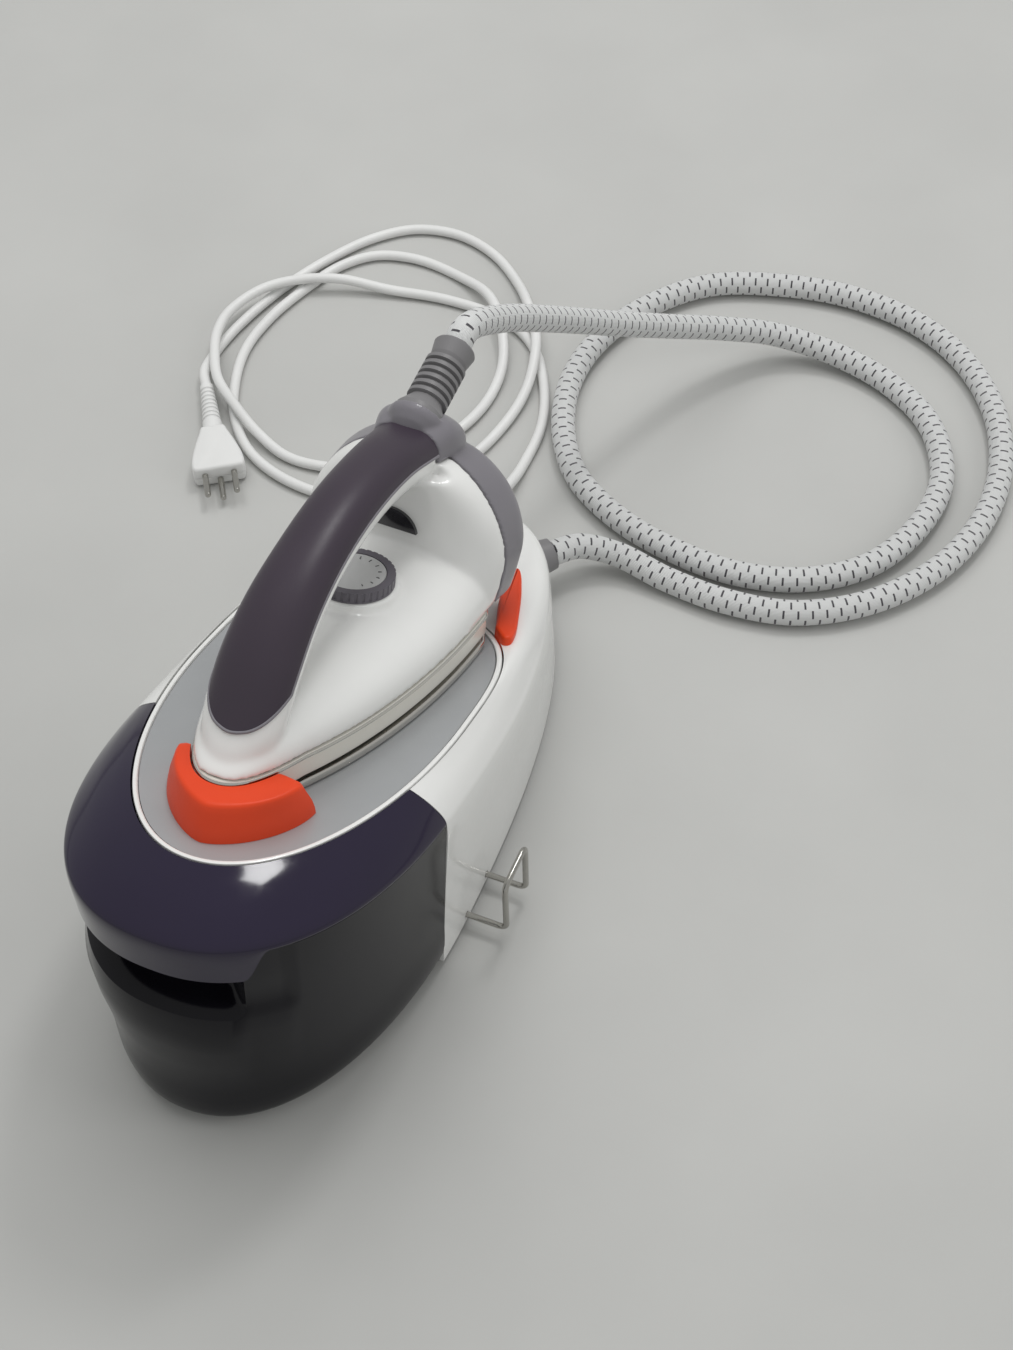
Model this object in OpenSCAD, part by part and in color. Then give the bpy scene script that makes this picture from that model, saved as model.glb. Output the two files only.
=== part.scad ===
// Steam ironing station: a wedge-shaped base with a pull-out water tank, and an iron that
// rests on its sloping tray. Millimetres, +Z up, tank at the front (-Y), hose and lead at
// the back (+Y). Inside the modules X is 0 on the middle plane, Y is 0 at the tank's front.

/* [Base] */
// Length of the base, from the tank's front to the rear wall
base_len = 407; // [395:1:420]
// Half the width of the base at its foot
base_half_w = 90; // [87:0.5:94]
// How much wider each side is at the shoulder than at the foot
side_flare = 1.5; // [0:0.5:4]
// Distance from the front to the widest place
widest_y = 165; // [155:1:175]
// Height of the tray's plane above the shoulder at the front and the sides
shoulder_drop = 18; // [14:1:22]
// How much higher than that the shoulder lies behind the tray
rear_rise = 26; // [18:1:30]
// How far the front wall leans back for each millimetre of height
front_lean = 0.065; // [0.02:0.005:0.12]
// How far the rear wall leans forward for each millimetre of height
rear_lean = 0.14; // [0.08:0.01:0.2]
// Wall thickness of the tank, the collar and the housing
wall = 2.6; // [2:0.1:3.2]
// Distance from the front to the foot of the seam between tank and housing
seam_y = 134; // [130:1:138]
// How far the seam leans back for each millimetre of height
seam_lean = 0.11; // [0:0.01:0.14]
// Gap at the seam
seam_gap = 0.6; // [0.4:0.1:1]

/* [Tray] */
// Slope of the tray, falling to the rear, in degrees
tray_tilt = 18; // [16:0.5:20]
// Height of the tray at its front edge
tray_front_z = 175; // [170:1:180]
// Distance from the front to the tray's front edge
tray_front_y = 57; // [54:1:60]
// Half the width of the tray
tray_half_w = 74; // [71:0.5:76]
// Distance from the front to the tray's widest place
tray_mid_y = 205; // [198:1:212]
// Distance from the front to the tray's rear edge
tray_rear_y = 292; // [288:1:296]
// Thickness of the tray
tray_t = 2.4; // [2:0.1:3]
// Width of the pale ring round the tray
rim_w = 3; // [2.4:0.1:3.6]

/* [Tank] */
// Height of the hand-grip lip under the shoulder
lip_h = 27; // [22:1:30]
// Depth of the finger recess behind the lip
recess_d = 20; // [14:1:24]
// Height of the finger recess below the lip
recess_h = 36; // [30:1:40]
// How far the tank pulls out
tank_travel = 150; // [120:5:170]
// Radius of the tank's outlet valve
valve_r = 7; // [5:0.5:8]
// Radius of the filling hole
fill_r = 14; // [12:0.5:16]

/* [Hose hook] */
// Wire diameter of the hook
wire_d = 3.5; // [3:0.1:4]
// Distance from the front to the hook's first leg
hook_y = 164; // [160:1:170]
// Distance between the hook's legs
hook_gap = 28; // [24:1:32]
// How far the hook stands out from the middle plane
hook_out = 114; // [110:1:117]
// Height of the hook's top bar
hook_top = 52; // [46:1:56]

/* [Iron] */
// Half the width of the soleplate
sole_half_w = 56; // [54:0.5:57]
// Turn of the iron on the tray, in degrees
iron_turn = 1.3; // [0:0.1:2]
// Distance along the tray from its front edge to the soleplate's nose
sole_nose = 33; // [32:0.5:36]
// Distance along the tray from its front edge to the soleplate's heel
sole_heel = 240; // [236:1:242]
// Thickness of the soleplate
sole_t = 5; // [4:0.5:6]
// Diameter of a steam hole
steam_hole_d = 2.4; // [2:0.1:3]
// Height of the parting line between heat skirt and body above the tray
skirt_top = 21; // [20:0.5:23]
// Height of the handle's centre line at its rear end above the tray
handle_top = 104; // [100:1:106]
// Radius of the temperature dial
dial_r = 22; // [20:0.5:23]
// Outer radius of the hose boot's ribs
boot_r = 11.5; // [11:0.5:13.5]
// Number of ribs on the hose boot
boot_ribs = 6; // [5:1:6]
// How far the steam trigger travels
trigger_travel = 4; // [3:0.5:5]

/* [Hose and lead] */
// Diameter of the steam hose
hose_d = 16; // [15:0.5:16]
// Diameter of the mains lead
lead_d = 7; // [6.5:0.1:7]

/* [Hidden] */

clear = 0.3;                       // gap between neighbouring pieces
foot_h = 2;                        // rubber feet below the pan
pan_t = 3;                         // thickness of the pan's floor
pan_top = foot_h + pan_t;
skirt_z = 4;                       // lower edge of the housing
belly_z = 14;                      // height where the tank's front is furthest forward
front_e = 2.3;                     // roundness of the front half of the plan at the shoulder
foot_e = 2.1;                      // roundness of the front half of the plan at the foot
rear_e = 2.5;                      // roundness of the rear half of the plan
span_z = 150;                      // height over which flare and roundness change
ring_twist = 17.5;                 // turns the tray's ring against the outer wall
arc_n = 40;                        // steps round the front or the rear of a shell
mid_x = (hook_out + wire_d / 2 - base_half_w - side_flare) / 2;
mid_y = base_len / 2;
screw_head_r = 3.5;
heel_v = 245;                      // the iron is turned about this place on the tray
hose_turn = 40;                    // the hose leaves the rear wall turned towards +X
hose_dir = [sin(hose_turn), cos(hose_turn), 0];
hose_exit = [34, 404, 26];
lead_exit = [-14, 404, 20];
gland_r = hose_d / 2 + 3;
lead_gland_r = lead_d / 2 + 3;
gland_out = 10;
lead_out = 30;
plug_at = [-192, 407, 8.5];        // middle of the plug's front face
plug_turn = 34;
plug_dir = [-sin(plug_turn), cos(plug_turn), 0];
plug_body_l = 44;
relief_l = 40;
plug_end = plug_at + (plug_body_l + relief_l) * plug_dir;
pin_gap = 19;
boot_v = 240;
boot_w = 117;
boot_up = 27;                      // the boot points up from the tray's slope
boot_l = 52;
boot_base = iron_pt([0, boot_v, boot_w]);
boot_dir = iron_dir([0, cos(boot_up), sin(boot_up)]);
boot_tip = boot_base + boot_l * boot_dir;

// ---- plain helpers -------------------------------------------------------------------
function pw(c, e) = sign(c) * pow(abs(c), e);
function lerp(a, b, t) = a + (b - a) * t;
function unit(v) = v / norm(v);
function clamp01(t) = max(0, min(1, t));

// A solid from points and triangles, turned inside out when its volume comes out reversed.
function total(v, i = 0, sum = 0) = i >= len(v) ? sum : total(v, i + 1, sum + v[i]);
module solid(pts, faces) {
    vol = total([for (f = faces) pts[f[0]] * cross(pts[f[1]], pts[f[2]])]);
    polyhedron(points = pts, faces = vol > 0 ? [for (f = faces) [f[2], f[1], f[0]]] : faces, convexity = 6);
}

// A closed or open shell between two grids of points, outer[i][k] and inner[i][k].
module shell(outer, inner, closed = false) {
    n = len(outer);
    m = len(outer[0]);
    pts = concat([for (r = outer) for (p = r) p], [for (r = inner) for (p = r) p]);
    o = n * m;
    last = closed ? n - 1 : n - 2;
    faces = concat(
        [for (i = [0:last]) for (k = [0:m - 2]) let (a = i * m + k, b = ((i + 1) % n) * m + k)
            each [[a, b, b + 1], [a, b + 1, a + 1]]],
        [for (i = [0:last]) for (k = [0:m - 2]) let (a = i * m + k, b = ((i + 1) % n) * m + k)
            each [[o + b, o + a, o + a + 1], [o + b, o + a + 1, o + b + 1]]],
        [for (i = [0:last]) let (a = i * m, b = ((i + 1) % n) * m)
            each [[o + a, o + b, b], [o + a, b, a]]],
        [for (i = [0:last]) let (a = i * m + m - 1, b = ((i + 1) % n) * m + m - 1)
            each [[a, b, o + b], [a, o + b, o + a]]],
        closed ? [] : [for (k = [0:m - 2]) let (a = k)
            each [[a, a + 1, o + a + 1], [a, o + a + 1, o + a]]],
        closed ? [] : [for (k = [0:m - 2]) let (a = (n - 1) * m + k)
            each [[a + 1, a, o + a], [a + 1, o + a, o + a + 1]]]
    );
    solid(pts, faces);
}

// A solid through closed rings of points, flat at both ends.
module loft(rings) {
    n = len(rings);
    m = len(rings[0]);
    mid0 = [for (j = [0:2]) lerp(min([for (p = rings[0]) p[j]]), max([for (p = rings[0]) p[j]]), 0.5)];
    mid1 = [for (j = [0:2])
        lerp(min([for (p = rings[n - 1]) p[j]]), max([for (p = rings[n - 1]) p[j]]), 0.5)];
    pts = concat([for (r = rings) for (p = r) p], [mid0, mid1]);
    c = n * m;
    faces = concat(
        [for (i = [0:n - 2]) for (k = [0:m - 1]) let (a = i * m + k, b = i * m + (k + 1) % m)
            each [[a, b, b + m], [a, b + m, a + m]]],
        [for (k = [0:m - 1]) [c, (k + 1) % m, k]],
        [for (k = [0:m - 1]) [c + 1, (n - 1) * m + k, (n - 1) * m + (k + 1) % m]]
    );
    solid(pts, faces);
}

// A round tube along a path; each ring stands square to the path.
function path_dir(path, i) = unit(path[min(i + 1, len(path) - 1)] - path[max(i - 1, 0)]);
function side_of(d) = unit(cross(d, abs(d[2]) > 0.9 ? [1, 0, 0] : [0, 0, 1]));
module tube(path, r, sides = 8, first = undef, final = undef) {
    n = len(path);
    loft([for (i = [0:n - 1])
        let (d = i == 0 && first != undef ? first : i == n - 1 && final != undef ? final : path_dir(path, i),
            s = side_of(d), u = cross(s, d))
        [for (k = [0:sides - 1]) let (a = -k * 360 / sides)
            path[i] + r * (cos(a) * s + sin(a) * u)]]);
}

// ---- the base's outer form -----------------------------------------------------------
// Plan point at angle a (0 at the front, 180 at the rear) and height z.
function front_y(z, inset) = front_lean * max(0, z - belly_z) + inset;
function rear_y(z, inset) = base_len - rear_lean * max(0, z - skirt_z) - inset;
function round_at(z) = lerp(foot_e, front_e, clamp01(z / span_z));
function plan(a, z, inset) =
    let (hw = base_half_w + side_flare * clamp01(z / span_z) - inset, c = cos(a),
        e = 2 / (c >= 0 ? round_at(z) : rear_e))
    [hw * pw(sin(a), e),
        c >= 0 ? widest_y - (widest_y - front_y(z, inset)) * pow(c, e)
               : widest_y + (rear_y(z, inset) - widest_y) * pow(-c, e)];
// Angle at which the plan crosses the plane y.
function angle_at(y, z, inset) =
    acos(pow((widest_y - y) / (widest_y - front_y(z, inset)), round_at(z) / 2));
function wall_pt(a, z, inset) = let (p = plan(a, z, inset)) [p[0], p[1], z];
function tray_z(y) = tray_front_z - (y - tray_front_y) * tan(tray_tilt);
function smooth(t) = t * t * (3 - 2 * t);
function shoulder_at(y) = tray_z(y) - shoulder_drop + rear_rise * smooth(clamp01((y - 240) / 150));
function seam_at(z) = seam_y + seam_lean * z;
// Point of the wall a given drop below the shoulder, set in by inset.
function shoulder_pt(a, inset, drop) =
    let (z1 = shoulder_at(plan(a, span_z, inset)[1]) - drop,
        z2 = shoulder_at(plan(a, z1, inset)[1]) - drop, p = plan(a, z2, inset))
    [p[0], p[1], z2];
// The same where the seam crosses that height: [angle, y, z].
function seam_pt(inset, drop, gap) =
    let (z1 = shoulder_at(seam_y) - drop, z2 = shoulder_at(seam_at(z1)) - drop, y = seam_at(z2) - gap)
    [angle_at(y, z2, inset), y, z2];
// Point of the tray's outline, widened by grow and raised by lift.
function ring_pt(a, grow, lift) =
    let (s = a < 0 || a > 180 ? -1 : 1, aa = a < 0 ? -a : a > 180 ? 360 - a : a,
        b = aa - ring_twist * sin(aa), c = cos(b), e = 2 / (c >= 0 ? 2.05 : 3.5),
        y = c >= 0 ? tray_mid_y - (tray_mid_y - tray_front_y + grow) * pow(c, e)
                   : tray_mid_y + (tray_rear_y - tray_mid_y + grow) * pow(-c, e))
    [s * (tray_half_w + grow) * pow(abs(sin(b)), e), y, tray_z(y) + lift];
function ring_in(a, grow, lift, t, bulge, inset, drop) =
    let (s = shoulder_pt(a, inset, drop), r = ring_pt(a, grow, lift))
    lerp(s, r, t) + [0, 0, bulge];

// ---- local frames --------------------------------------------------------------------
module place() translate([-mid_x, -mid_y, 0]) children();
// Frame of the tray: y runs down the slope, z stands square to it.
module deck() translate([0, tray_front_y, tray_front_z]) rotate([-tray_tilt, 0, 0]) children();
function deck_pt(p) = let (c = cos(tray_tilt), s = sin(tray_tilt))
    [p[0], tray_front_y + p[1] * c + p[2] * s, tray_front_z - p[1] * s + p[2] * c];
// Frame of the iron: the tray's frame, turned a little about the heel.
module iron() deck() translate([0, heel_v, 0]) rotate([0, 0, -iron_turn]) translate([0, -heel_v, 0]) children();
function turned(p) = [p[0] * cos(iron_turn) + p[1] * sin(iron_turn), p[1] * cos(iron_turn) - p[0] * sin(iron_turn), p[2]];
function iron_pt(p) = deck_pt(turned(p - [0, heel_v, 0]) + [0, heel_v, 0]);
function iron_dir(p) = iron_pt(p) - iron_pt([0, 0, 0]);

// ---- base ----------------------------------------------------------------------------
pan_inset = wall + 0.5;
tongue_inset = 9;
foot_pts = [[-50, 60], [50, 60], [-56, 330], [56, 330]];
screw_pts = [[-70, 180], [70, 215], [-40, 372], [45, 360]];
boss_h = 12;

module base_pan() color("dimgray") {
    a0 = angle_at(seam_at(skirt_z), skirt_z, pan_inset);
    back = [for (i = [0:arc_n]) let (a = lerp(a0, 360 - a0, i / arc_n)) plan(a, skirt_z, pan_inset)];
    a1 = angle_at(seam_at(skirt_z), skirt_z, tongue_inset);
    front = [for (i = [0:arc_n]) let (a = lerp(-a1, a1, i / arc_n)) plan(a, skirt_z, tongue_inset)];
    difference() {
        union() {
            translate([0, 0, foot_h]) linear_extrude(pan_t) polygon(concat(back, front));
            for (p = screw_pts) translate([p[0], p[1], pan_top]) cylinder(h = boss_h, r = 4.5, $fn = 32);
            translate([-46, 224, pan_top]) cube([32, 4, 6]);
            for (p = board_posts) translate([p[0], p[1], pan_top]) cylinder(h = 6, r = 3, $fn = 24);
        }
        for (p = screw_pts) translate([p[0], p[1], foot_h - 1])
            cylinder(h = pan_t + boss_h + 2, r = 1.7, $fn = 24);
        for (p = screw_pts) translate([p[0], p[1], foot_h - 1]) cylinder(h = 3, r = screw_head_r + clear, $fn = 24);
    }
}

module feet() color("black") for (p = foot_pts) translate([p[0], p[1], 0]) cylinder(h = foot_h, r = 9, $fn = 40);

module base_screws() color("silver") for (p = screw_pts) translate([p[0], p[1], foot_h - 1]) {
    translate([0, 0, 1.2]) cylinder(h = 1.8, r = screw_head_r, $fn = 24);
    translate([0, 0, 1.2]) cylinder(h = 14, r = 1.5, $fn = 24);
}

// Levels of the housing's wall at t along it, from its lower edge to the tray's ring.
rim_gap = rim_w + 0.8;
rim_lift = 0.8;
function span(s, t) = lerp(s, 360 - s, t);
function housing_row(t, inner) =
    let (w = inner ? wall : 0, edge = seam_pt(0, 0, 0)[0],
        foot = span(angle_at(seam_at(skirt_z), skirt_z, w), t),
        mid = span(seam_pt(w, 60, 0)[0], t), top = span(edge, t))
    [
        wall_pt(foot, skirt_z, w),
        shoulder_pt(mid, w, min(60, 0.5 * shoulder_at(plan(mid, 50, w)[1]))),
        shoulder_pt(span(seam_pt(w, 5, 0)[0], t), w, 5 + w * 0.3),
        shoulder_pt(top, w + 1.6, w),
        ring_in(top, rim_gap, rim_lift, 0.35, 2.2 - w, 1, 0),
        ring_in(top, rim_gap, rim_lift, 0.7, 1.6 - w, 1, 0),
        ring_pt(top, rim_gap, rim_lift - w)
    ];

module housing() color("whitesmoke") difference() {
    shell(
        [for (i = [0:arc_n]) housing_row(i / arc_n, false)],
        [for (i = [0:arc_n]) housing_row(i / arc_n, true)]
    );
    for (y = [hook_y, hook_y + hook_gap]) translate([hook_in, y, leg_z]) rotate([0, 90, 0])
        cylinder(h = 60, r = wire_d / 2 + 0.4, $fn = 24);
    deck() pad(clear);
    gland_at(hose_exit, hose_turn) translate([0, 0, -30]) cylinder(h = 60, r = gland_r + clear, $fn = 40);
    gland_at(lead_exit, 0) translate([0, 0, -30]) cylinder(h = 60, r = lead_gland_r + clear, $fn = 40);
}

// Outline of the tray in plan.
function tray_outline(grow) = [for (i = [0:71]) let (p = ring_pt(i * 5, grow, 0)) [p[0], p[1]]];
// A plate parallel to the tray's plane, between two heights above it.
module sloped(outline, z0, z1) {
    loft([for (z = [z0, z1]) [for (p = outline) [p[0], p[1], tray_z(p[1]) + z]]]);
}

module tray() color("silver") difference() {
    sloped(tray_outline(-0.2), -tray_t, 0);
    deck() pad(clear);
}

module tray_rim() color("white") {
    shell(
        [for (i = [0:71]) [ring_pt(i * 5, rim_w, -3.5), ring_pt(i * 5, rim_w, 0.2), ring_pt(i * 5, rim_w - 1, 1.2)]],
        [for (i = [0:71]) [ring_pt(i * 5, 0.1, -3.5), ring_pt(i * 5, 0.1, 0.2), ring_pt(i * 5, 0.8, 1.2)]],
        closed = true
    );
}

// ---- tank ----------------------------------------------------------------------------
band_drop = 4;                     // tank's rim below the shoulder
lip_right = 32;                    // right end of the lip, degrees round the plan
lip_left = -64;                    // left end of the lip
function in_lip(a) = clamp01((a - lip_left) / 3) * clamp01((lip_right - a) / 3);
function near_lip(a) = clamp01((a - lip_left + 7) / 3) * clamp01((lip_right + 7 - a) / 3);
function in_grip(a) = clamp01((a - lip_left - 3) / 3) * clamp01((lip_right - 9 - a) / 3);
function dent(a, t) = t * max((wall + clear) * near_lip(a), recess_d * in_grip(a));
function tank_back(pts, s, y, z, inset) =
    concat(pts, [for (t = [0.75, 0.5, 0.25]) let (x = plan(s, z, inset)[0]) [lerp(-x, x, t), y, z]]);
// Ring of the tank at a level height.
function tank_low(z, inset) =
    let (y = seam_at(z) - seam_gap - (inset > 1 ? inset : 0), s = angle_at(y, z, inset))
    tank_back([for (i = [0:arc_n]) wall_pt(lerp(-s, s, i / arc_n), z, inset)], s, y, z, inset);
// Ring of the tank a given drop below the shoulder; t pushes the finger recess in.
function tank_high(drop, inset, t) =
    let (e = seam_pt(inset, drop, seam_gap + (inset > 1 ? inset : 0)))
    tank_back([for (i = [0:arc_n]) let (a = lerp(-e[0], e[0], i / arc_n)) shoulder_pt(a, inset + dent(a, t), drop)],
        e[0], e[1], e[2], inset);
recess_low = lip_h + recess_h;

module tank_body() color([0.09, 0.08, 0.11, 0.8]) difference() {
    cup(
        [tank_low(pan_top + clear, 7), tank_low(pan_top + 3, 2), tank_low(belly_z, 0), tank_low(45, 0),
            tank_high(recess_low, 0, 0), tank_high(recess_low - 12, 0, 1), tank_high(lip_h, 0, 1),
            tank_high(band_drop, 0, 1)],
        [tank_low(pan_top + 3.2, 9), tank_low(belly_z, wall + 1), tank_low(45, wall),
            tank_high(recess_low, wall, 0), tank_high(recess_low - 12, wall, 1), tank_high(lip_h, wall, 1),
            tank_high(band_drop, wall, 1)]
    );
    translate([0, tank_y - 20, valve_z]) rotate([-90, 0, 0]) cylinder(h = 40, r = valve_r + 0.1, $fn = 40);
}

// An open cup: outer rings from the foot up, inner rings from the floor up.
module cup(outs, ins) {
    n = len(outs);
    q = len(ins);
    m = len(outs[0]);
    pts = concat([for (r = outs) for (p = r) p], [for (r = ins) for (p = r) p],
        [[0, seam_y / 2, outs[0][0][2]], [0, seam_y / 2, ins[0][0][2]]]);
    o = n * m;
    c = o + q * m;
    faces = concat(
        [for (i = [0:n - 2]) for (k = [0:m - 1]) let (a = i * m + k, b = i * m + (k + 1) % m)
            each [[a, b, b + m], [a, b + m, a + m]]],
        [for (i = [0:q - 2]) for (k = [0:m - 1]) let (a = o + i * m + k, b = o + i * m + (k + 1) % m)
            each [[b, a, a + m], [b, a + m, b + m]]],
        [for (k = [0:m - 1]) [c, (k + 1) % m, k]],
        [for (k = [0:m - 1]) [c + 1, o + k, o + (k + 1) % m]],
        [for (k = [0:m - 1]) let (a = (n - 1) * m + k, b = (n - 1) * m + (k + 1) % m,
                e = o + (q - 1) * m + k, f = o + (q - 1) * m + (k + 1) % m)
            each [[a, b, f], [a, f, e]]]
    );
    solid(pts, faces);
}

function collar_row(t, inner) =
    let (w = inner ? wall : 0, e = seam_pt(0, 0, seam_gap)[0], a = lerp(-e, e, t),
        e1 = seam_pt(w, band_drop, seam_gap)[0], a1 = lerp(-e1, e1, t))
    [
        shoulder_pt(a1, w, lerp(band_drop - 0.4, lip_h, in_lip(a1))),
        shoulder_pt(a1, w, 2.5),
        shoulder_pt(a, w + 1.2, w * 0.8),
        ring_in(a, rim_gap, rim_lift, 0.35, 2.2 - w, 1, 0),
        ring_in(a, rim_gap, rim_lift, 0.7, 1.6 - w, 1, 0),
        ring_pt(a, rim_gap, rim_lift - w)
    ];
module tank_collar() color([0.16, 0.12, 0.24]) shell(
    [for (i = [0:arc_n]) collar_row(i / arc_n, false)],
    [for (i = [0:arc_n]) collar_row(i / arc_n, true)]
);

lid_t = 3;
fill_at = [0, 78];
lid_top = -shoulder_drop - band_drop;
lid_outline = [for (p = tank_high(band_drop, wall + clear, 1)) [p[0], p[1]]];
fill_z = tray_z(fill_at[1]) + lid_top;
module tank_lid() color([0.16, 0.12, 0.24]) difference() {
    sloped(lid_outline, lid_top - lid_t, lid_top);
    fill_frame() translate([0, 0, -10]) cylinder(h = 20, r = fill_r, $fn = 48);
}
module fill_frame() translate([fill_at[0], fill_at[1], fill_z]) rotate([-tray_tilt, 0, 0]) children();
module fill_plug() color("black") fill_frame() {
    translate([0, 0, -7]) cylinder(h = 7, r = fill_r - 0.1, $fn = 48);
    cylinder(h = 1.8, r = fill_r + 2.5, $fn = 48);
}

valve_z = 24;
tank_y = seam_at(valve_z) - seam_gap;
module tank_valve() color("dimgray") translate([0, tank_y, valve_z]) rotate([-90, 0, 0]) {
    translate([0, 0, -wall - 6]) cylinder(h = wall + 9, r = valve_r, $fn = 40);
    translate([0, 0, 1.3]) cylinder(h = 1.4, r = valve_r + 3, $fn = 40);
    translate([0, 0, 3]) cylinder(h = 7, r = valve_r - 1, $fn = 40);
}
seat_y = seam_at(valve_z) + 2.6;
seat_l = 16;
module valve_seat() color("gray") translate([0, seat_y, valve_z]) {
    difference() {
        union() {
            rotate([-90, 0, 0]) cylinder(h = seat_l, r = valve_r + 5, $fn = 40);
            translate([-8, 2, pan_top - valve_z]) cube([16, seat_l - 4, valve_z - pan_top]);
        }
        rotate([-90, 0, 0]) translate([0, 0, -1]) cylinder(h = seat_l - 3, r = valve_r + 0.5, $fn = 40);
        rotate([-90, 0, 0]) cylinder(h = seat_l + 1, r = 2, $fn = 24);
    }
}
module valve_seal() color("black") translate([0, seat_y + 4, valve_z]) rotate([-90, 0, 0])
    rotate_extrude($fn = 40) translate([valve_r - 0.25, 0]) circle(r = 0.6, $fn = 16);

// ---- inside the base -----------------------------------------------------------------
pump_c = [-30, 200, 34];
pump_r = 19;
pump_l = 66;
module pump() color("lightgray") translate(pump_c) rotate([-90, 0, 0]) {
    cylinder(h = pump_l, r = pump_r, $fn = 48);
    translate([0, 0, -12]) cylinder(h = 12, r = 8, $fn = 32);
    translate([0, 0, pump_l]) cylinder(h = 12, r = 6, $fn = 32);
}
module pump_mounts() color("black") for (y = [8, pump_l - 16]) translate([pump_c[0], pump_c[1] + y, 0]) difference() {
    union() {
        translate([0, 0, pump_c[2]]) rotate([-90, 0, 0]) cylinder(h = 8, r = pump_r + 4, $fn = 48);
        translate([-14, 0, pan_top]) cube([28, 8, pump_c[2] - pump_r - pan_top + 4]);
    }
    translate([0, -1, pump_c[2]]) rotate([-90, 0, 0]) cylinder(h = 10, r = pump_r + 0.1, $fn = 48);
}
module pump_inlet_tube() color("white") tube([
    [0, seat_y + seat_l, valve_z], [0, seat_y + seat_l + 8, valve_z], [-6, seat_y + seat_l + 18, valve_z + 4],
    [-22, pump_c[1] - 24, pump_c[2] - 1], [pump_c[0], pump_c[1] - 18, pump_c[2]], [pump_c[0], pump_c[1] - 12, pump_c[2]]
], 3.5, 8, [0, 1, 0], [0, 1, 0]);
module pump_outlet_tube() color("white") tube([
    [pump_c[0], pump_c[1] + pump_l + 12, pump_c[2]], [pump_c[0], pump_c[1] + pump_l + 22, pump_c[2]],
    [-22, 312, 31], [-4, 332, 29], [8, 352, hose_exit[2]], gland_back - 14 * hose_dir, gland_back
], 3.5, 8, [0, 1, 0], hose_dir);
gland_back = hose_exit - 10 * hose_dir;

board_posts = [[18, 232], [58, 232], [18, 308], [58, 308]];
board_z = pan_top + 6;
module control_board() color("darkgreen") difference() {
    translate([14, 228, board_z]) cube([48, 84, 1.6]);
    for (p = board_posts) translate([p[0], p[1], board_z - 1]) cylinder(h = 4, r = 1.6, $fn = 20);
}
module board_parts() color("dimgray") translate([0, 0, board_z + 1.6]) {
    translate([22, 246, 0]) cube([20, 16, 15]);
    translate([46, 244, 0]) cube([10, 14, 12]);
    translate([30, 280, 0]) cylinder(h = 18, r = 7, $fn = 32);
    translate([46, 272, 0]) cube([12, 28, 14]);
}

// ---- hose hook -----------------------------------------------------------------------
leg_z = 9;
hook_in = 58;                      // inner ends of the legs
bend_r = 5;
bend_steps = [0:30:90];
module hose_hook() color("silver") tube(concat(
    [[hook_in, hook_y, leg_z]],
    [for (b = bend_steps) [hook_out - bend_r * (1 - sin(b)), hook_y, leg_z + bend_r * (1 - cos(b))]],
    [for (b = bend_steps) [hook_out, hook_y + bend_r * (1 - cos(b)), hook_top - bend_r * (1 - sin(b))]],
    [for (b = bend_steps) [hook_out, hook_y + hook_gap - bend_r * (1 - sin(b)), hook_top - bend_r * (1 - cos(b))]],
    [for (b = bend_steps) [hook_out - bend_r * (1 - cos(b)), hook_y + hook_gap, leg_z + bend_r * (1 - sin(b))]],
    [[hook_in, hook_y + hook_gap, leg_z]]
), wire_d / 2, 10, [1, 0, 0], [-1, 0, 0]);
module hook_guides() color("gray") for (y = [hook_y, hook_y + hook_gap]) difference() {
    translate([hook_in + 2, y - 5, pan_top]) cube([22, 10, leg_z - pan_top + 4]);
    translate([hook_in - 1, y, leg_z]) rotate([0, 90, 0]) cylinder(h = 30, r = wire_d / 2 + 0.08, $fn = 32);
}

// ---- glands, hose, lead and plug -----------------------------------------------------
module gland_at(p, turn) translate(p) rotate([0, 0, -turn]) rotate([-90, 0, 0]) children();
module hose_gland() color("gainsboro") gland_at(hose_exit, hose_turn) rotate_extrude($fn = 48) polygon([
    [hose_d / 2 - 2, -10], [gland_r, -10], [gland_r, 2], [gland_r - 1, gland_out],
    [hose_d / 2 - 2, gland_out]
]);
module lead_gland() color("white") gland_at(lead_exit, 0) rotate_extrude($fn = 40) polygon([
    [0, -10], [lead_gland_r, -10], [lead_gland_r, 3], [lead_d / 2 + 1, lead_out], [0, lead_out]
]);

hose_pts = concat([hose_exit + gland_out * hose_dir], [
    [53, 427, 22], [75, 436, 14], [110, 433, 8], [150, 430, 8], [192, 437, 8], [232, 462, 8],
    [263, 502, 8], [279, 550, 8], [279, 600, 8], [262, 650, 8], [230, 690, 8], [190, 714, 8],
    [140, 723, 8], [90, 716, 8], [45, 698, 8], [12, 662, 8], [-7, 620, 8], [-11, 575, 8],
    [1, 530, 8], [25, 494, 8], [62, 470, 8], [105, 457, 8], [150, 454, 8], [192, 466, 8],
    [224, 492, 8], [243, 533, 8], [246, 578, 8], [226, 622, 8], [190, 650, 8], [148, 661, 11],
    [108, 653, 22], [78, 627, 40], [54, 590, 66], [35, 548, 98], [20, 505, 133], [10, 465, 166],
    [4, 430, 194]
], [boot_tip + 14 * boot_dir, boot_tip]);
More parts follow.
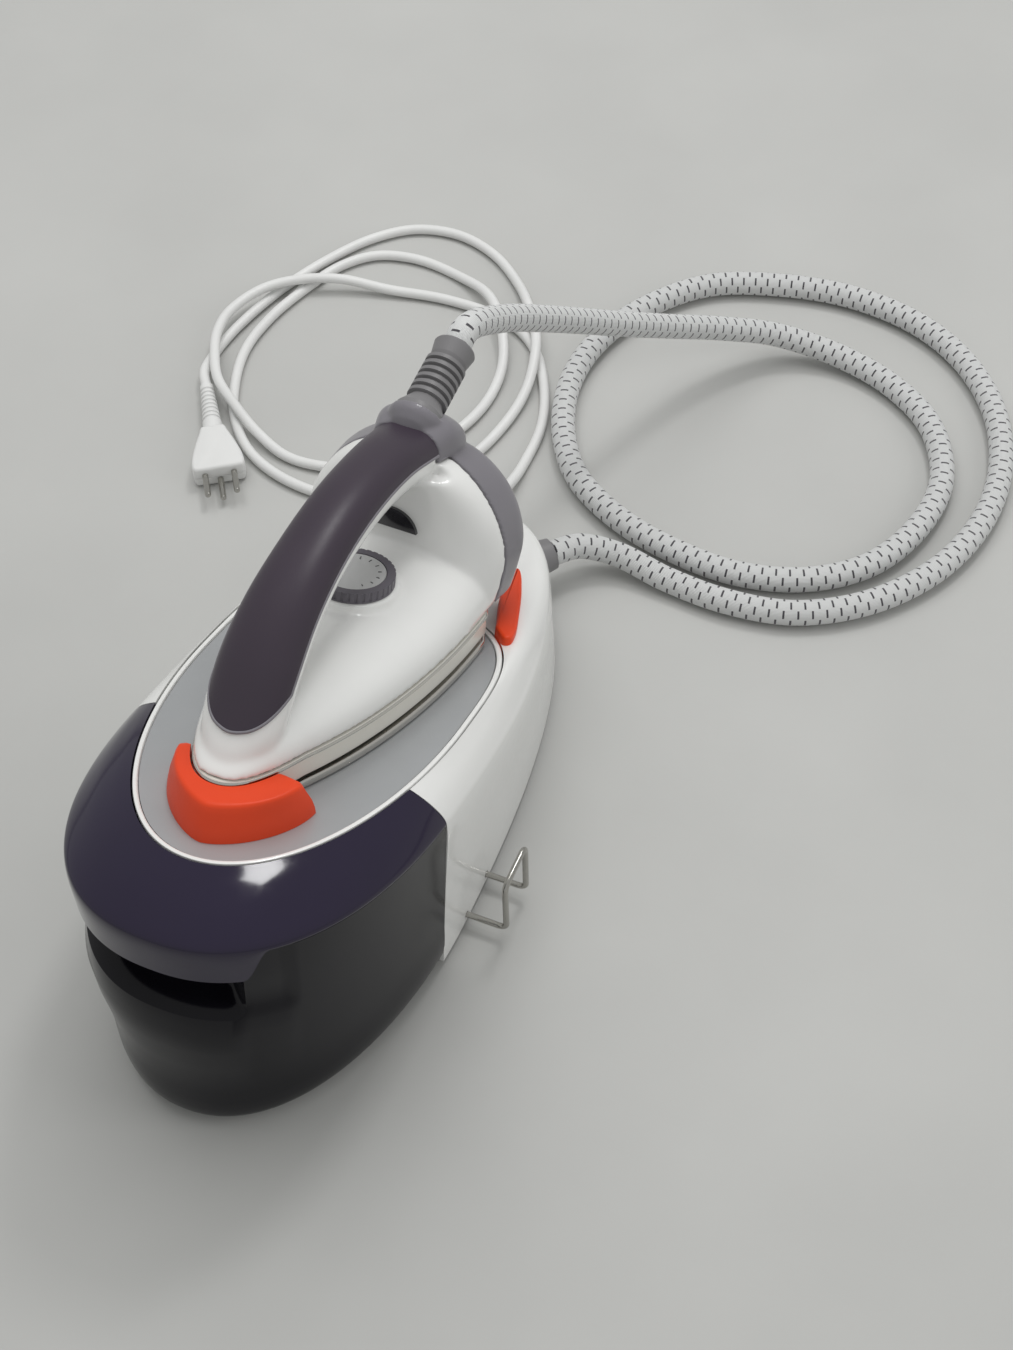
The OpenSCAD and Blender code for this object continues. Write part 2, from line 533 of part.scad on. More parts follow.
// Least gap between stretches of a cord, past four diameters along it.
function spread(path, n = 6) = [for (i = [0:len(path) - 2]) for (j = [0:n - 1]) lerp(path[i], path[i + 1], j / n)];
function least_gap(path, d) = let (q = spread(path))
    min([for (i = [0:len(q) - 1]) for (j = [i + ceil(4 * d / 5):len(q) - 1]) norm(q[i] - q[j])]) - d;
echo(hose_gap = least_gap(hose_pts, hose_d), lead_gap = least_gap(lead_pts, lead_d));
module steam_hose() color("gainsboro") tube(hose_pts, hose_d / 2, 8, hose_dir, -boot_dir);

lead_pts = concat([lead_exit + [0, lead_out, 0]], [
    [-14, 448, 17], [-13, 468, 9], [-13, 492, 3.5], [-15, 530, 3.5], [-27, 565, 3.5], [-50, 600, 3.5],
    [-78, 617, 3.5], [-124, 621, 3.5], [-166, 614, 5], [-200, 606, 10.5], [-226, 594, 11.5],
    [-246, 575, 12], [-257, 546, 12], [-255, 524, 12.5], [-246, 503, 13], [-233, 483, 13],
    [-213, 467, 12], [-189, 453, 7], [-162, 443, 3.5], [-134, 444, 3.5], [-106, 454, 3.5], [-80, 480, 3.5],
    [-63, 514, 3.5], [-58, 546, 3.5], [-62, 576, 6], [-76, 605, 12.5], [-96, 630, 10], [-124, 646, 3.5],
    [-160, 652, 3.5], [-190, 645, 3.5], [-209, 626, 3.5], [-222, 596, 3.5], [-232, 560, 3.5],
    [-234, 524, 3.5], [-225, 490, 3.5], [-209, 460, 3.5], [-184, 436, 3.5], [-148, 423, 3.5],
    [-110, 424, 3.5], [-74, 446, 3.5], [-50, 482, 3.5], [-39, 522, 3.5], [-37, 558, 6],
    [-44, 592, 13], [-62, 626, 8], [-84, 655, 3.5], [-112, 677, 3.5], [-144, 687, 3.5],
    [-176, 681, 3.5], [-201, 660, 3.5], [-220, 630, 3.5], [-236, 594, 3.5], [-246, 560, 3.5],
    [-251, 532, 3.5], [-252, 510, 3.5]
], [plug_end + 14 * plug_dir, plug_end]);
module mains_lead() color("white") tube(lead_pts, lead_d / 2, 8, [0, 1, 0], -plug_dir);

module plug_frame() translate(plug_at) rotate([0, 0, plug_turn]) children();
module plug_body() color("white") plug_frame() {
    translate([0, 0, -8]) linear_extrude(16) polygon([
        [-17.5, 0], [17.5, 0], [17.5, 12], [8, plug_body_l - 4], [-8, plug_body_l - 4], [-17.5, 12]
    ]);
    translate([0, plug_body_l - 4, 0]) rotate([-90, 0, 0]) rotate_extrude($fn = 40) polygon([
        [0, 0], [7.9, 0], [7.9, 4], [6, 7], [lead_d / 2 + 1, relief_l + 4], [0, relief_l + 4]
    ]);
}
module plug_pins() color("silver") plug_frame() {
    for (x = [-pin_gap / 2, pin_gap / 2]) translate([x, 0, 2.5]) rotate([90, 0, 0]) {
        cylinder(h = 17, d = 4, $fn = 24);
        translate([0, 0, 17]) sphere(d = 4, $fn = 24);
    }
    translate([0, 0, -2.5]) rotate([90, 0, 0]) {
        cylinder(h = 17, d = 4, $fn = 24);
        translate([0, 0, 17]) sphere(d = 4, $fn = 24);
    }
}

// ---- rests for the iron --------------------------------------------------------------
// Plan of the iron at a place along the tray: half the width for nose, heel and half width.
function iron_half(v, nose, wide, hw) = hw * pow(1 - pow(clamp01((wide - v) / (wide - nose)), 2), 0.69);
iron_wide = 215;
function iron_outline(nose, heel, hw) =
    let (side = [for (i = [0:24]) let (t = i / 24, v = lerp(nose, heel, t * t))
        [iron_half(v, nose, iron_wide, hw) * (1 - 0.22 * pow(clamp01((v - heel + 18) / 18), 3)), v]])
    concat(side, [for (i = [24:-1:1]) [-side[i][0], side[i][1]]]);

stop_front = 10;
stop_h = 20;
stop_half = 39;
stop_rear = 56;
module front_stop() color("orangered") deck() difference() {
    loft([stop_ring(0.1, 0), stop_ring(4, 0.5), stop_ring(stop_h - 5, 4), stop_ring(stop_h - 1.2, 5.5),
        stop_ring(stop_h, 7.5)]);
    translate([0, heel_v, sole_lift - 0.2]) rotate([0, 0, -iron_turn]) translate([0, -heel_v, 0])
        linear_extrude(stop_h + 2) polygon(iron_outline(sole_nose - 3, 130, sole_half_w + 3.4));
}
// Plan of the stop at a height: a blunt wedge, drawn in by trim.
function stop_ring(z, trim) =
    let (side = [for (i = [0:12]) let (t = i / 12, v = lerp(stop_front + trim, stop_rear - trim, t))
        [(stop_half - trim) * pow(1 - pow(1 - t, 1.5), 0.8), v]])
    [for (p = concat(side, [[side[12][0] * 0.7, stop_rear - trim + 3]], [[-side[12][0] * 0.7, stop_rear - trim + 3]],
        [for (i = [12:-1:1]) [-side[i][0], side[i][1]]])) [p[0], p[1], z]];

pad_pts = [[50, 262], [60, 246], [66, 244], [70, 250], [69, 262], [64, 284], [54, 300], [44, 302]];
pad_up = 9;
pad_down = 7;
module pad(grow) for (s = [0, 1]) mirror([s, 0, 0]) translate([0, 0, -pad_down - grow])
    linear_extrude(pad_up + pad_down + 4 * grow)
        polygon([for (p = pad_pts) let (d = unit(p - [60, 272])) p + grow * 1.6 * d]);
module rear_pads() color("orangered") deck() pad(0);

// ---- iron ----------------------------------------------------------------------------
sole_lift = 0.4;
sole_top = sole_lift + sole_t;
module soleplate() color("silver") iron() difference() {
    translate([0, 0, sole_lift]) linear_extrude(sole_t)
        polygon(iron_outline(sole_nose, sole_heel, sole_half_w));
    for (v = [sole_nose + 34:16:sole_heel - 60]) for (s = [-1, 1])
        translate([s * (iron_half(v, sole_nose, iron_wide, sole_half_w) - 12), v, -1])
            cylinder(h = 3.4, d = steam_hole_d, $fn = 16);
    for (v = [sole_nose + 22, sole_nose + 40]) translate([0, v, -1]) cylinder(h = 3.4, d = steam_hole_d, $fn = 16);
}
module heater_casting() color("gray") iron() difference() {
    translate([0, 0, sole_top]) linear_extrude(10)
        polygon(iron_outline(sole_nose + 14, sole_heel - 14, sole_half_w - 12));
    translate([0, 0, 0]) linear_extrude(sole_top + 6)
        polygon(iron_outline(sole_nose + 40, sole_heel - 40, sole_half_w - 28));
    for (p = heater_screws) translate([p[0], p[1], sole_top + 4]) cylinder(h = 10, r = 2, $fn = 24);
}
heater_screws = [[0, 86], [-26, 210], [26, 210]];

skirt_low = 8.5;
skirt_rear = 241;
function skirt_ring(z, grow) = [for (p = iron_outline(sole_nose - 3 - grow + z * 0.1, skirt_rear + grow, sole_half_w + 1 + grow - z * 0.03)) [p[0], p[1], z]];
module heat_skirt() color([0.93, 0.92, 0.86]) iron() {
    outs = [skirt_ring(skirt_low, 0), skirt_ring(14, 0.4), skirt_ring(skirt_top, 0)];
    ins = [skirt_ring(skirt_low, -2), skirt_ring(14, -1.8), skirt_ring(skirt_top, -2)];
    n = len(outs[0]);
    shell([for (i = [0:n - 1]) [for (r = outs) r[i]]], [for (i = [0:n - 1]) [for (r = ins) r[i]]], closed = true);
}

// Height of the body's ridge above the tray.
function ridge(v) = lerp(34, 50, pow(clamp01((v - 36) / 110), 0.7)) + 9 * pow(clamp01((v - 150) / 90), 2);
body_nose = sole_nose - 0.5;
body_hw = sole_half_w + 0.5;
body_rear = 242.5;
// Arch-shaped section of the body at a place along the tray.
function body_ring(v) =
    let (b = max(1.5, iron_half(v, body_nose - 1, iron_wide, body_hw)),
        r = skirt_top + clear + max(2, (ridge(v) - skirt_top) * pow(clamp01((v - body_nose) / 26), 0.55)),
        base = skirt_top + clear)
    [for (i = [0:20]) let (a = i * 9) [b * pw(cos(a), 0.87), v, base + (r - base) * pow(sin(a), 0.8)]];

grip_end = 229;                    // rear end of the grip
handle_path = [[0, 62, 40], [0, 78, 64], [0, 98, 82], [0, 126, 95], [0, 160, 102], [0, 198, handle_top + 1], [0, grip_end, handle_top]];
function handle_half(i) = [19, 18, 17, 16.5, 17, 18, 20][i];
// Section of the handle: the lower core when part is 0, the upper grip when part is 1.
function handle_ring(i, grow) =
    let (d = path_dir(handle_path, i), u = cross([1, 0, 0], d), w = handle_half(i) + grow, h = 12 + grow)
    [for (k = [0:19]) let (a = -k * 18) handle_path[i] + w * pw(cos(a), 0.9) * [1, 0, 0] + h * pw(sin(a), 0.9) * u];

// Levels of the rear pillar: height, front, split, back and half width.
pillar = [
    [skirt_top + clear, 205, 244, 266, 56.3],
    [36, 212, 246, 273, 57.5],
    [52, 218, 247, 276, 57],
    [70, 220, 246, 275, 51.5],
    [86, 219, 244, 272, 43.5],
    [96, 217, 243, 268, 34],
    [103, 214, 242, 262, 23]
];
function pillar_ring(q) = [for (i = [0:20]) let (a = -90 + i * 9)
    [q[4] * pw(sin(a), 0.85), q[2] - clear - (q[2] - q[1]) * pow(cos(a), 0.85), q[0]]];
function cover_ring(q) = [for (i = [0:20]) let (a = -90 + i * 9)
    [-q[4] * pw(sin(a), 0.6), q[2] + (q[3] - q[2]) * pow(max(0, cos(a)), 0.6), q[0]]];
// Top of the cover behind the grip: place, height, half width and half height.
cap = [
    [grip_end + 1, 104, 22.5, 15],
    [238, 104, 24, 15],
    [248, 102, 24.5, 14],
    [257, 99, 22, 12],
    [263, 96, 17, 9]
];
function cap_ring(q) = [for (i = [0:19]) let (a = -i * 18)
    [q[2] * pw(cos(a), 0.9), q[0], q[1] + q[3] * pw(sin(a), 0.9)]];

module iron_body() color("white") iron() difference() {
    union() {
        loft([for (v = [body_nose, body_nose + 2, body_nose + 6, body_nose + 13, body_nose + 24, 80, 105,
            130, 155, 180, 205, 225, body_rear]) body_ring(v)]);
        loft([for (i = [0:6]) handle_ring(i, 0)]);
        difference() {
            loft([for (q = pillar) pillar_ring(q)]);
            translate([-60, grip_end - 39, 96.8]) cube([120, 39.6, 20]);
        }
        translate([0, dial_v, 36]) cylinder(h = dial_w - 36 - clear, r = dial_r + 2.5, $fn = 64);
    }
    translate([0, 0, skirt_top - 5]) linear_extrude(18)
        polygon(iron_outline(body_nose + 36, body_rear - 12, body_hw - 12));
    lens_frame() translate([0, 0, -0.05]) linear_extrude(8) lens_shape(0.1);
    translate([-6, trigger_v - 4, 80]) cube([12, 44, 19.4]);
    translate([-4.1, trigger_v + 9.9, 98]) cube([8.2, 12.2, 7.5]);
    translate([0, dial_v, 20]) cylinder(h = 60, r = 4.4, $fn = 32);
}
module handle_grip() color([0.2, 0.16, 0.22]) iron() difference() {
    loft([for (i = [0:6]) handle_ring(i, 3)]);
    loft([for (i = [-1:7]) let (j = max(0, min(6, i)), d = path_dir(handle_path, j),
        o = i < 0 ? -8 : i > 6 ? 8 : 0) [for (p = handle_ring(j, clear)) p + o * d]]);
    grip_cut();
}
// Everything below the handle's sides, cut away from the grip.
module grip_cut() loft([for (i = [-1:7]) let (j = max(0, min(6, i)), d = path_dir(handle_path, j),
    u = cross([1, 0, 0], d), c = handle_path[j] + (i < 0 ? -8 : i > 6 ? 8 : 0) * d, h = grip_edge)
    [c + [30, 0, 0] + h * u, c + [30, 0, 0] - 30 * u, c + [-30, 0, 0] - 30 * u, c + [-30, 0, 0] + h * u]]);
grip_edge = -5;
module grip_trim() color("gray") iron() for (s = [-1, 1]) loft([for (i = [0:6])
    let (d = path_dir(handle_path, i), u = cross([1, 0, 0], d), c = handle_path[i] + s * (handle_half(i) + 0.9) * [1, 0, 0])
    [for (q = [[1.9, -0.2], [1.9, -1.8], [-0.1, -1.8], [-0.1, -0.2]]) c + [s * q[0] * 0.6, 0, 0] + (grip_edge + q[1]) * u]
    ]);

module rear_cover() color("gray") iron() difference() {
    union() {
        loft([for (q = pillar) cover_ring(q)]);
        difference() {
            loft([for (q = cap) cap_ring(q)]);
            translate([-60, 200, 60]) cube([120, 44.3, 43 + clear]);
        }
    }
    translate([0, boot_v, boot_w]) rotate([-90 + boot_up, 0, 0]) translate([0, 0, -1])
        cylinder(h = 40, r = boot_r + 3 + clear, $fn = 48);
    tube(concat([[0, 256, 10]], cover_tube(110)), 6.2, 8, [0, 0, 1], [0, 0, 1]);
}
module hose_boot() color("dimgray") iron() translate([0, boot_v, boot_w]) rotate([-90 + boot_up, 0, 0])
    rotate_extrude($fn = 48) polygon(concat(
        [[hose_d / 2 - 2, 0], [boot_r + 3, 0], [boot_r + 2.5, 6], [boot_r - 1, 12]],
        [for (i = [0:boot_ribs - 1]) each [[boot_r - 2, 14 + i * 4.6], [boot_r, 14.6 + i * 4.6],
            [boot_r, 16.8 + i * 4.6], [boot_r - 2, 17.4 + i * 4.6]]],
        [[boot_r - 1, boot_l - 9], [boot_r + 0.5, boot_l - 1], [boot_r, boot_l], [hose_d / 2 - 2, boot_l]]
    ));

dial_v = 176;
dial_w = 53.4;
module dial_ring() color("dimgray") iron() translate([0, dial_v, dial_w]) difference() {
    cylinder(h = 6, r = dial_r, $fn = 72);
    translate([0, 0, 4.5]) cylinder(h = 3, r = dial_r - 4.6, $fn = 64);
    translate([0, 0, -1]) cylinder(h = 8, r = 4, $fn = 32);
    for (i = [0:35]) rotate([0, 0, i * 10]) translate([dial_r + 0.6, 0, 1]) cylinder(h = 7, r = 1.1, $fn = 12);
}
module dial_disc() color("gainsboro") iron() translate([0, dial_v, dial_w + 4.5])
    cylinder(h = 1.2, r = dial_r - 5, $fn = 64);
module dial_spindle() color("silver") iron() translate([0, dial_v, 34]) cylinder(h = dial_w + 4.4 - 34, r = 3.95, $fn = 32);
module thermostat() color("tan") iron() translate([0, dial_v, sole_top + 10]) cylinder(h = 34 - sole_top - 10 - clear, r = 9, $fn = 32);
module lens_frame() translate([0, 220.8, 64]) rotate([90, 0, 0]) children();
module lens_shape(grow) intersection() {
    translate([0, -4]) circle(r = 16 + grow, $fn = 48);
    translate([-18, -grow]) square([36, 14 + grow]);
}
module indicator_lens() color("black") iron() lens_frame() linear_extrude(3) lens_shape(0);

trigger_v = 144;
module steam_trigger() color("dimgray") iron() translate([0, trigger_v, 0]) {
    translate([-5.5, 0, 83]) cube([11, 36, 9]);
    translate([-3, 14, 92]) cube([6, 6, 3]);
}
module micro_switch() color("black") iron() translate([-4, trigger_v + 10, 99.4]) cube([8, 12, 6]);
function cover_tube(end) = [[0, 256, 24], [0, 262, 40], [0, 262, 60], [0, 257, 80], [0, 249, end]];
module steam_tube() color("white") iron() tube(cover_tube(98), 3, 8, [0, 0, 1], [0, 0, 1]);
module terminal_block() color("ivory") iron() translate([14, 168, sole_top + 10]) cube([16, 26, 9]);
module iron_screws() color("silver") iron() for (p = heater_screws) translate([p[0], p[1], sole_top + 4]) {
    cylinder(h = 6, r = 1.9, $fn = 20);
    translate([0, 0, 6]) cylinder(h = 2.4, r = 3.4, $fn = 24);
}

place() base_pan();
place() feet();
place() housing();
place() tray();
place() tray_rim();
place() front_stop();
place() rear_pads();
place() tank_body();
place() tank_collar();
place() tank_lid();
place() fill_plug();
place() tank_valve();
place() valve_seat();
place() valve_seal();
place() pump();
place() pump_mounts();
place() pump_inlet_tube();
place() pump_outlet_tube();
place() control_board();
place() board_parts();
place() base_screws();
place() hose_hook();
place() hook_guides();
place() hose_gland();
place() lead_gland();
place() steam_hose();
place() mains_lead();
place() plug_body();
place() plug_pins();
place() soleplate();
place() heater_casting();
place() heat_skirt();
place() iron_body();
place() handle_grip();
place() grip_trim();
place() rear_cover();
place() hose_boot();
place() dial_ring();
place() dial_disc();
place() dial_spindle();
place() thermostat();
place() indicator_lens();
place() steam_trigger();
place() micro_switch();
place() steam_tube();
place() terminal_block();
place() iron_screws();
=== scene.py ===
import math

import bmesh
import bpy
import numpy as np
from mathutils import Matrix, Vector


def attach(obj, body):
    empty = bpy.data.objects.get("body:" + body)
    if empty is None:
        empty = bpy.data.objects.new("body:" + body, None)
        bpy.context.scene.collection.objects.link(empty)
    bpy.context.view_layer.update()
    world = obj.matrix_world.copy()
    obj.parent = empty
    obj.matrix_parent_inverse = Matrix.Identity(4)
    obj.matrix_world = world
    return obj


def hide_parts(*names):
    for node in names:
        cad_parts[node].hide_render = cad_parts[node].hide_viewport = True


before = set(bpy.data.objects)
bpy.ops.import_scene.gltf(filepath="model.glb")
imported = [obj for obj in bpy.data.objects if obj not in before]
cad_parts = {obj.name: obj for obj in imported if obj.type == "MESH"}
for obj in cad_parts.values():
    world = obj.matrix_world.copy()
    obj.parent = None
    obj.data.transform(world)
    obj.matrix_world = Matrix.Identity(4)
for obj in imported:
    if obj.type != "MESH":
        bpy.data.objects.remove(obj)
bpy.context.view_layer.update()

# ---- Camera --------------------------------------------------------------------------
# A long lens looks down on the right front corner from standing height, with the
# camera tipped two degrees, so the nose of the base comes towards the viewer.
CAMERA_PLACE, LENS_LENGTH, FILM_WIDTH = (0.339875, -0.5525, 0.985), 54.08, 36
camera_turn, camera_dip, camera_tip = math.radians(24.4), math.radians(52.8), math.radians(-2.0)
to_right = Vector((math.cos(camera_turn), math.sin(camera_turn), 0))
level = Vector((-math.sin(camera_turn), math.cos(camera_turn), 0))
forward = math.cos(camera_dip) * level - Vector((0, 0, math.sin(camera_dip)))
downward = -math.sin(camera_dip) * level - Vector((0, 0, math.cos(camera_dip)))
frame_right = math.cos(camera_tip) * to_right - math.sin(camera_tip) * downward
frame_down = math.sin(camera_tip) * to_right + math.cos(camera_tip) * downward


def new_object(name, data):
    thing = bpy.data.objects.new(name, data)
    bpy.context.scene.collection.objects.link(thing)
    return thing


camera = new_object("camera", bpy.data.cameras.new("camera"))
camera.data.lens = LENS_LENGTH
camera.data.sensor_width = FILM_WIDTH
stand = Matrix((frame_right, -frame_down, -forward)).transposed().to_4x4()
stand.translation = CAMERA_PLACE
camera.matrix_world = stand
bpy.context.scene.camera = camera

# ---- Mains lead ----------------------------------------------------------------------
# Round white PVC lead, 7 mm over the sheath, moulded into its gland at the rear wall. It
# lies in two and a half loose turns on the floor and ends in the plug on the left.
BASE_MIDDLE = (12.125, 203.5)
LEAD_RADIUS = 3.5


def on_stand(p):
    """A point measured from the tank's front, in millimetres, put into the part's own frame."""
    return Vector(((p[0] - BASE_MIDDLE[0]) / 1000, (p[1] - BASE_MIDDLE[1]) / 1000, p[2] / 1000))


def through(points, steps):
    """A smooth line through the points, with no swing between uneven spacings."""
    p = [np.array(q, float) for q in points]
    p = [2 * p[0] - p[1]] + p + [2 * p[-1] - p[-2]]
    line = []
    for i in range(1, len(p) - 2):
        t = [0.0]
        for k in range(3):
            t.append(t[-1] + max(1e-4, np.linalg.norm(p[i + k] - p[i + k - 1])) ** 0.5)
        for k in range(steps):
            s = t[1] + (t[2] - t[1]) * k / steps
            a = [p[i + j - 1] + (p[i + j] - p[i + j - 1]) * (s - t[j]) / (t[j + 1] - t[j])
                 for j in range(3)]
            b = [a[j] + (a[j + 1] - a[j]) * (s - t[j]) / (t[j + 2] - t[j]) for j in range(2)]
            line.append(b[0] + (b[1] - b[0]) * (s - t[1]) / (t[2] - t[1]))
    line.append(p[-2])
    return line


def settle_edges(mesh, sharp=38):
    """Faces outward, smooth shading, and a crease wherever two faces meet steeply."""
    bm = bmesh.new()
    bm.from_mesh(mesh)
    bmesh.ops.remove_doubles(bm, verts=bm.verts, dist=2e-6)
    bmesh.ops.recalc_face_normals(bm, faces=bm.faces)
    for face in bm.faces:
        face.smooth = True
    for edge in bm.edges:
        edge.smooth = not (len(edge.link_faces) == 2 and edge.calc_face_angle(0) > math.radians(sharp))
    bm.to_mesh(mesh)
    bm.free()


def make_piece(name, points, faces, finish=None, sharp=38, where=on_stand):
    """A new object of these points, which the where function puts into the part's frame."""
    mesh = bpy.data.meshes.new(name)
    mesh.from_pydata([where(p) for p in points], [], faces)
    settle_edges(mesh, sharp)
    if finish:
        mesh.materials.append(finish)
    return new_object(name, mesh)


def along_tube(line, radii, sides):
    """Rings of a tube that follow the line without a twist, with one radius or one per point."""
    line = [np.array(p, float) for p in line]
    radii = radii if hasattr(radii, "__len__") else [radii] * len(line)
    rings = []
    side = None
    for i, p in enumerate(line):
        d = line[min(i + 1, len(line) - 1)] - line[max(i - 1, 0)]
        d = d / np.linalg.norm(d)
        if side is None:
            side = np.cross(d, (0, 0, 1) if abs(d[2]) < 0.9 else (1, 0, 0))
        side = side - d * np.dot(side, d)
        side = side / np.linalg.norm(side)
        other = np.cross(side, d)
        turns = [2 * math.pi * k / sides for k in range(sides)]
        rings.append([p + radii[i] * (math.cos(t) * side + math.sin(t) * other) for t in turns])
    return rings


def skin_rings(rings):
    """Points and faces of a closed body through closed rings."""
    n, m = len(rings), len(rings[0])
    points = [p for ring in rings for p in ring]
    faces = [(i * m + k, i * m + (k + 1) % m, (i + 1) * m + (k + 1) % m, (i + 1) * m + k)
             for i in range(n - 1) for k in range(m)]
    faces += [tuple(range(m))[::-1], tuple((n - 1) * m + k for k in range(m))]
    return points, faces


def set_inputs(tree, node, inputs):
    """Sets inputs of a node, each to a value or to what another node puts out."""
    for socket, value in inputs.items():
        if isinstance(value, bpy.types.NodeSocket):
            tree.links.new(value, node.inputs[socket])
        else:
            node.inputs[socket].default_value = value
    return node


def new_node(tree, kind, inputs):
    return set_inputs(tree, tree.nodes.new(kind), inputs)


def finish_of(name, colour, rough, metal=0.0, coat=0.0, vary=0.05, cloud=16.0, grain=900.0,
              dent=0.00004, spread=0.05, shine=0.5):
    """A moulded or rolled surface: slow colour drift, fine grain in the gloss and in the relief."""
    mat = bpy.data.materials.new(name)
    mat.use_nodes = True
    tree = mat.node_tree
    spot = new_node(tree, "ShaderNodeTexCoord", {}).outputs["Object"]
    drift = new_node(tree, "ShaderNodeTexNoise", {"Vector": spot, "Scale": cloud, "Detail": 4})
    noise = new_node(tree, "ShaderNodeTexNoise", {"Vector": spot, "Scale": grain, "Detail": 3})
    fine = noise.outputs["Fac"]
    tone = new_node(tree, "ShaderNodeValToRGB", {"Fac": drift.outputs["Fac"]})
    for stop, place, change in zip(tone.color_ramp.elements, (0.3, 0.7), (-vary, vary)):
        stop.position = place
        stop.color = [min(1, c * (1 + change)) for c in colour] + [1]
    gloss = new_node(tree, "ShaderNodeMapRange", {
        "Value": fine, "To Min": max(0.02, rough - spread), "To Max": rough + spread})
    relief = new_node(tree, "ShaderNodeBump", {"Height": fine, "Distance": dent, "Strength": 0.6})
    set_inputs(tree, tree.nodes["Principled BSDF"], {
        "Metallic": metal, "Coat Weight": coat, "Coat Roughness": 0.06, "Specular IOR Level": shine,
        "Base Color": tone.outputs["Color"], "Roughness": gloss.outputs["Result"],
        "Normal": relief.outputs["Normal"]})
    return mat


white_lead = finish_of("white_lead", (0.74, 0.74, 0.73), 0.36, grain=500)
lead_route = [
    [-14, 434, 20], [-14, 448, 17], [-13, 468, 9], [-13, 492, 3.5], [-15, 530, 3.5], [-27, 565, 3.5],
    [-50, 600, 3.5], [-78, 617, 3.5], [-124, 621, 3.5], [-166, 614, 5], [-200, 606, 10.5],
    [-226, 594, 11.5], [-246, 575, 12], [-257, 546, 12], [-255, 524, 12.5], [-246, 503, 13],
    [-233, 483, 13], [-213, 467, 12], [-189, 453, 7], [-162, 443, 3.5], [-134, 444, 3.5],
    [-106, 454, 3.5], [-80, 480, 3.5], [-63, 514, 3.5], [-58, 546, 3.5], [-62, 576, 6],
    [-76, 605, 12.5], [-96, 630, 10], [-124, 646, 3.5], [-160, 652, 3.5], [-190, 645, 3.5],
    [-209, 626, 3.5], [-222, 596, 3.5], [-232, 560, 3.5], [-234, 524, 3.5], [-225, 490, 3.5],
    [-209, 460, 3.5], [-184, 436, 3.5], [-148, 423, 3.5], [-110, 424, 3.5], [-74, 446, 3.5],
    [-50, 482, 3.5], [-39, 522, 3.5], [-37, 558, 6], [-44, 592, 13], [-62, 626, 8], [-84, 655, 3.5],
    [-112, 677, 3.5], [-144, 687, 3.5], [-176, 681, 3.5], [-201, 660, 3.5], [-220, 630, 3.5],
    [-236, 594, 3.5], [-246, 560, 3.5], [-251, 532, 3.5], [-252, 510, 3.5]]
PLUG_FRONT, PLUG_TURN = np.array((-192, 407, 8.5)), math.radians(34)
plug_way = np.array((-math.sin(PLUG_TURN), math.cos(PLUG_TURN), 0))
lead_route += [list(PLUG_FRONT + 98 * plug_way), list(PLUG_FRONT + 84 * plug_way)]
lead_line = through(lead_route, 6)


mains_lead = make_piece("mains_lead_sheath", *skin_rings(along_tube(lead_line, LEAD_RADIUS, 14)),
                        finish=white_lead)
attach(mains_lead, "base")
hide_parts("mains_lead")

# ---- Plug ----------------------------------------------------------------------------
# Flat moulded mains plug with three round pins, in the same white PVC as the lead. Its
# sides draw in towards the ribbed, tapered strain relief that grips the sheath.


def on_plug(p):
    """A point measured from the plug's middle between its pins, with y along its way."""
    s, c = math.sin(PLUG_TURN), math.cos(PLUG_TURN)
    return on_stand(PLUG_FRONT + (p[0] * c - p[1] * s, p[0] * s + p[1] * c, p[2]))


def slab_rings(outline, levels, middle):
    """Rings of a flat piece; each level is a height and how far its outline draws in."""
    rings = []
    for z, inset in levels:
        ring = []
        n = len(outline)
        for i, p in enumerate(outline):
            a, b = outline[i - 1], outline[(i + 1) % n]
            d = np.array((b[1] - a[1], a[0] - b[0]), float)
            d = d / max(1e-6, np.linalg.norm(d))
            out = np.array((p[0] - middle[0], p[1] - middle[1]))
            d = d if np.dot(d, out) > 0 else -d
            ring.append((p[0] - d[0] * inset, p[1] - d[1] * inset, z))
        rings.append(ring)
    return rings


half_plug = through([(0, 0.4), (12, 0.4), (16, 1.2), (17.3, 4), (16.8, 12), (13.5, 24), (9.6, 35),
                     (7.6, 40), (0, 40)], 4)
plug_outline = half_plug + [(-p[0], p[1]) for p in half_plug[-2:0:-1]]
plug_case = make_piece("plug_case", *skin_rings(slab_rings(
    plug_outline, [(-8, 2.2), (-7.4, 0.9), (-6, 0.2), (-0.4, 0), (-0.3, 0.3), (0.3, 0.3), (0.4, 0),
                   (6, 0.2), (7.4, 0.9), (8, 2.2)], (0, 20))),
    finish=white_lead, sharp=50, where=on_plug)
RELIEF_STEPS, RIB_EVERY, GROOVE = 92, 8, 0.9
relief_line, relief_width = [], []
for i in range(RELIEF_STEPS + 1):
    relief_line.append((0, 38 + 46 * i / RELIEF_STEPS, 0))
    groove = GROOVE if 22 < i < 84 and i % RIB_EVERY < 3 else 0
    relief_width.append(7.4 - 2.9 * (i / RELIEF_STEPS) ** 0.8 - groove)
strain_relief = make_piece("plug_strain_relief", *skin_rings(along_tube(relief_line, relief_width, 28)),
                           finish=white_lead, sharp=60, where=on_plug)
for piece in (plug_case, strain_relief):
    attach(piece, "base")
    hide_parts("plug_body")


def dress_node(name, finish):
    """Puts the finish on a solid that is shown just as it is in the part."""
    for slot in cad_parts[name].material_slots:
        slot.material = finish


nickel = finish_of("nickel_plate", (0.45, 0.44, 0.41), 0.2, metal=1.0, grain=1400, vary=0.04)
dress_node("plug_pins", nickel)

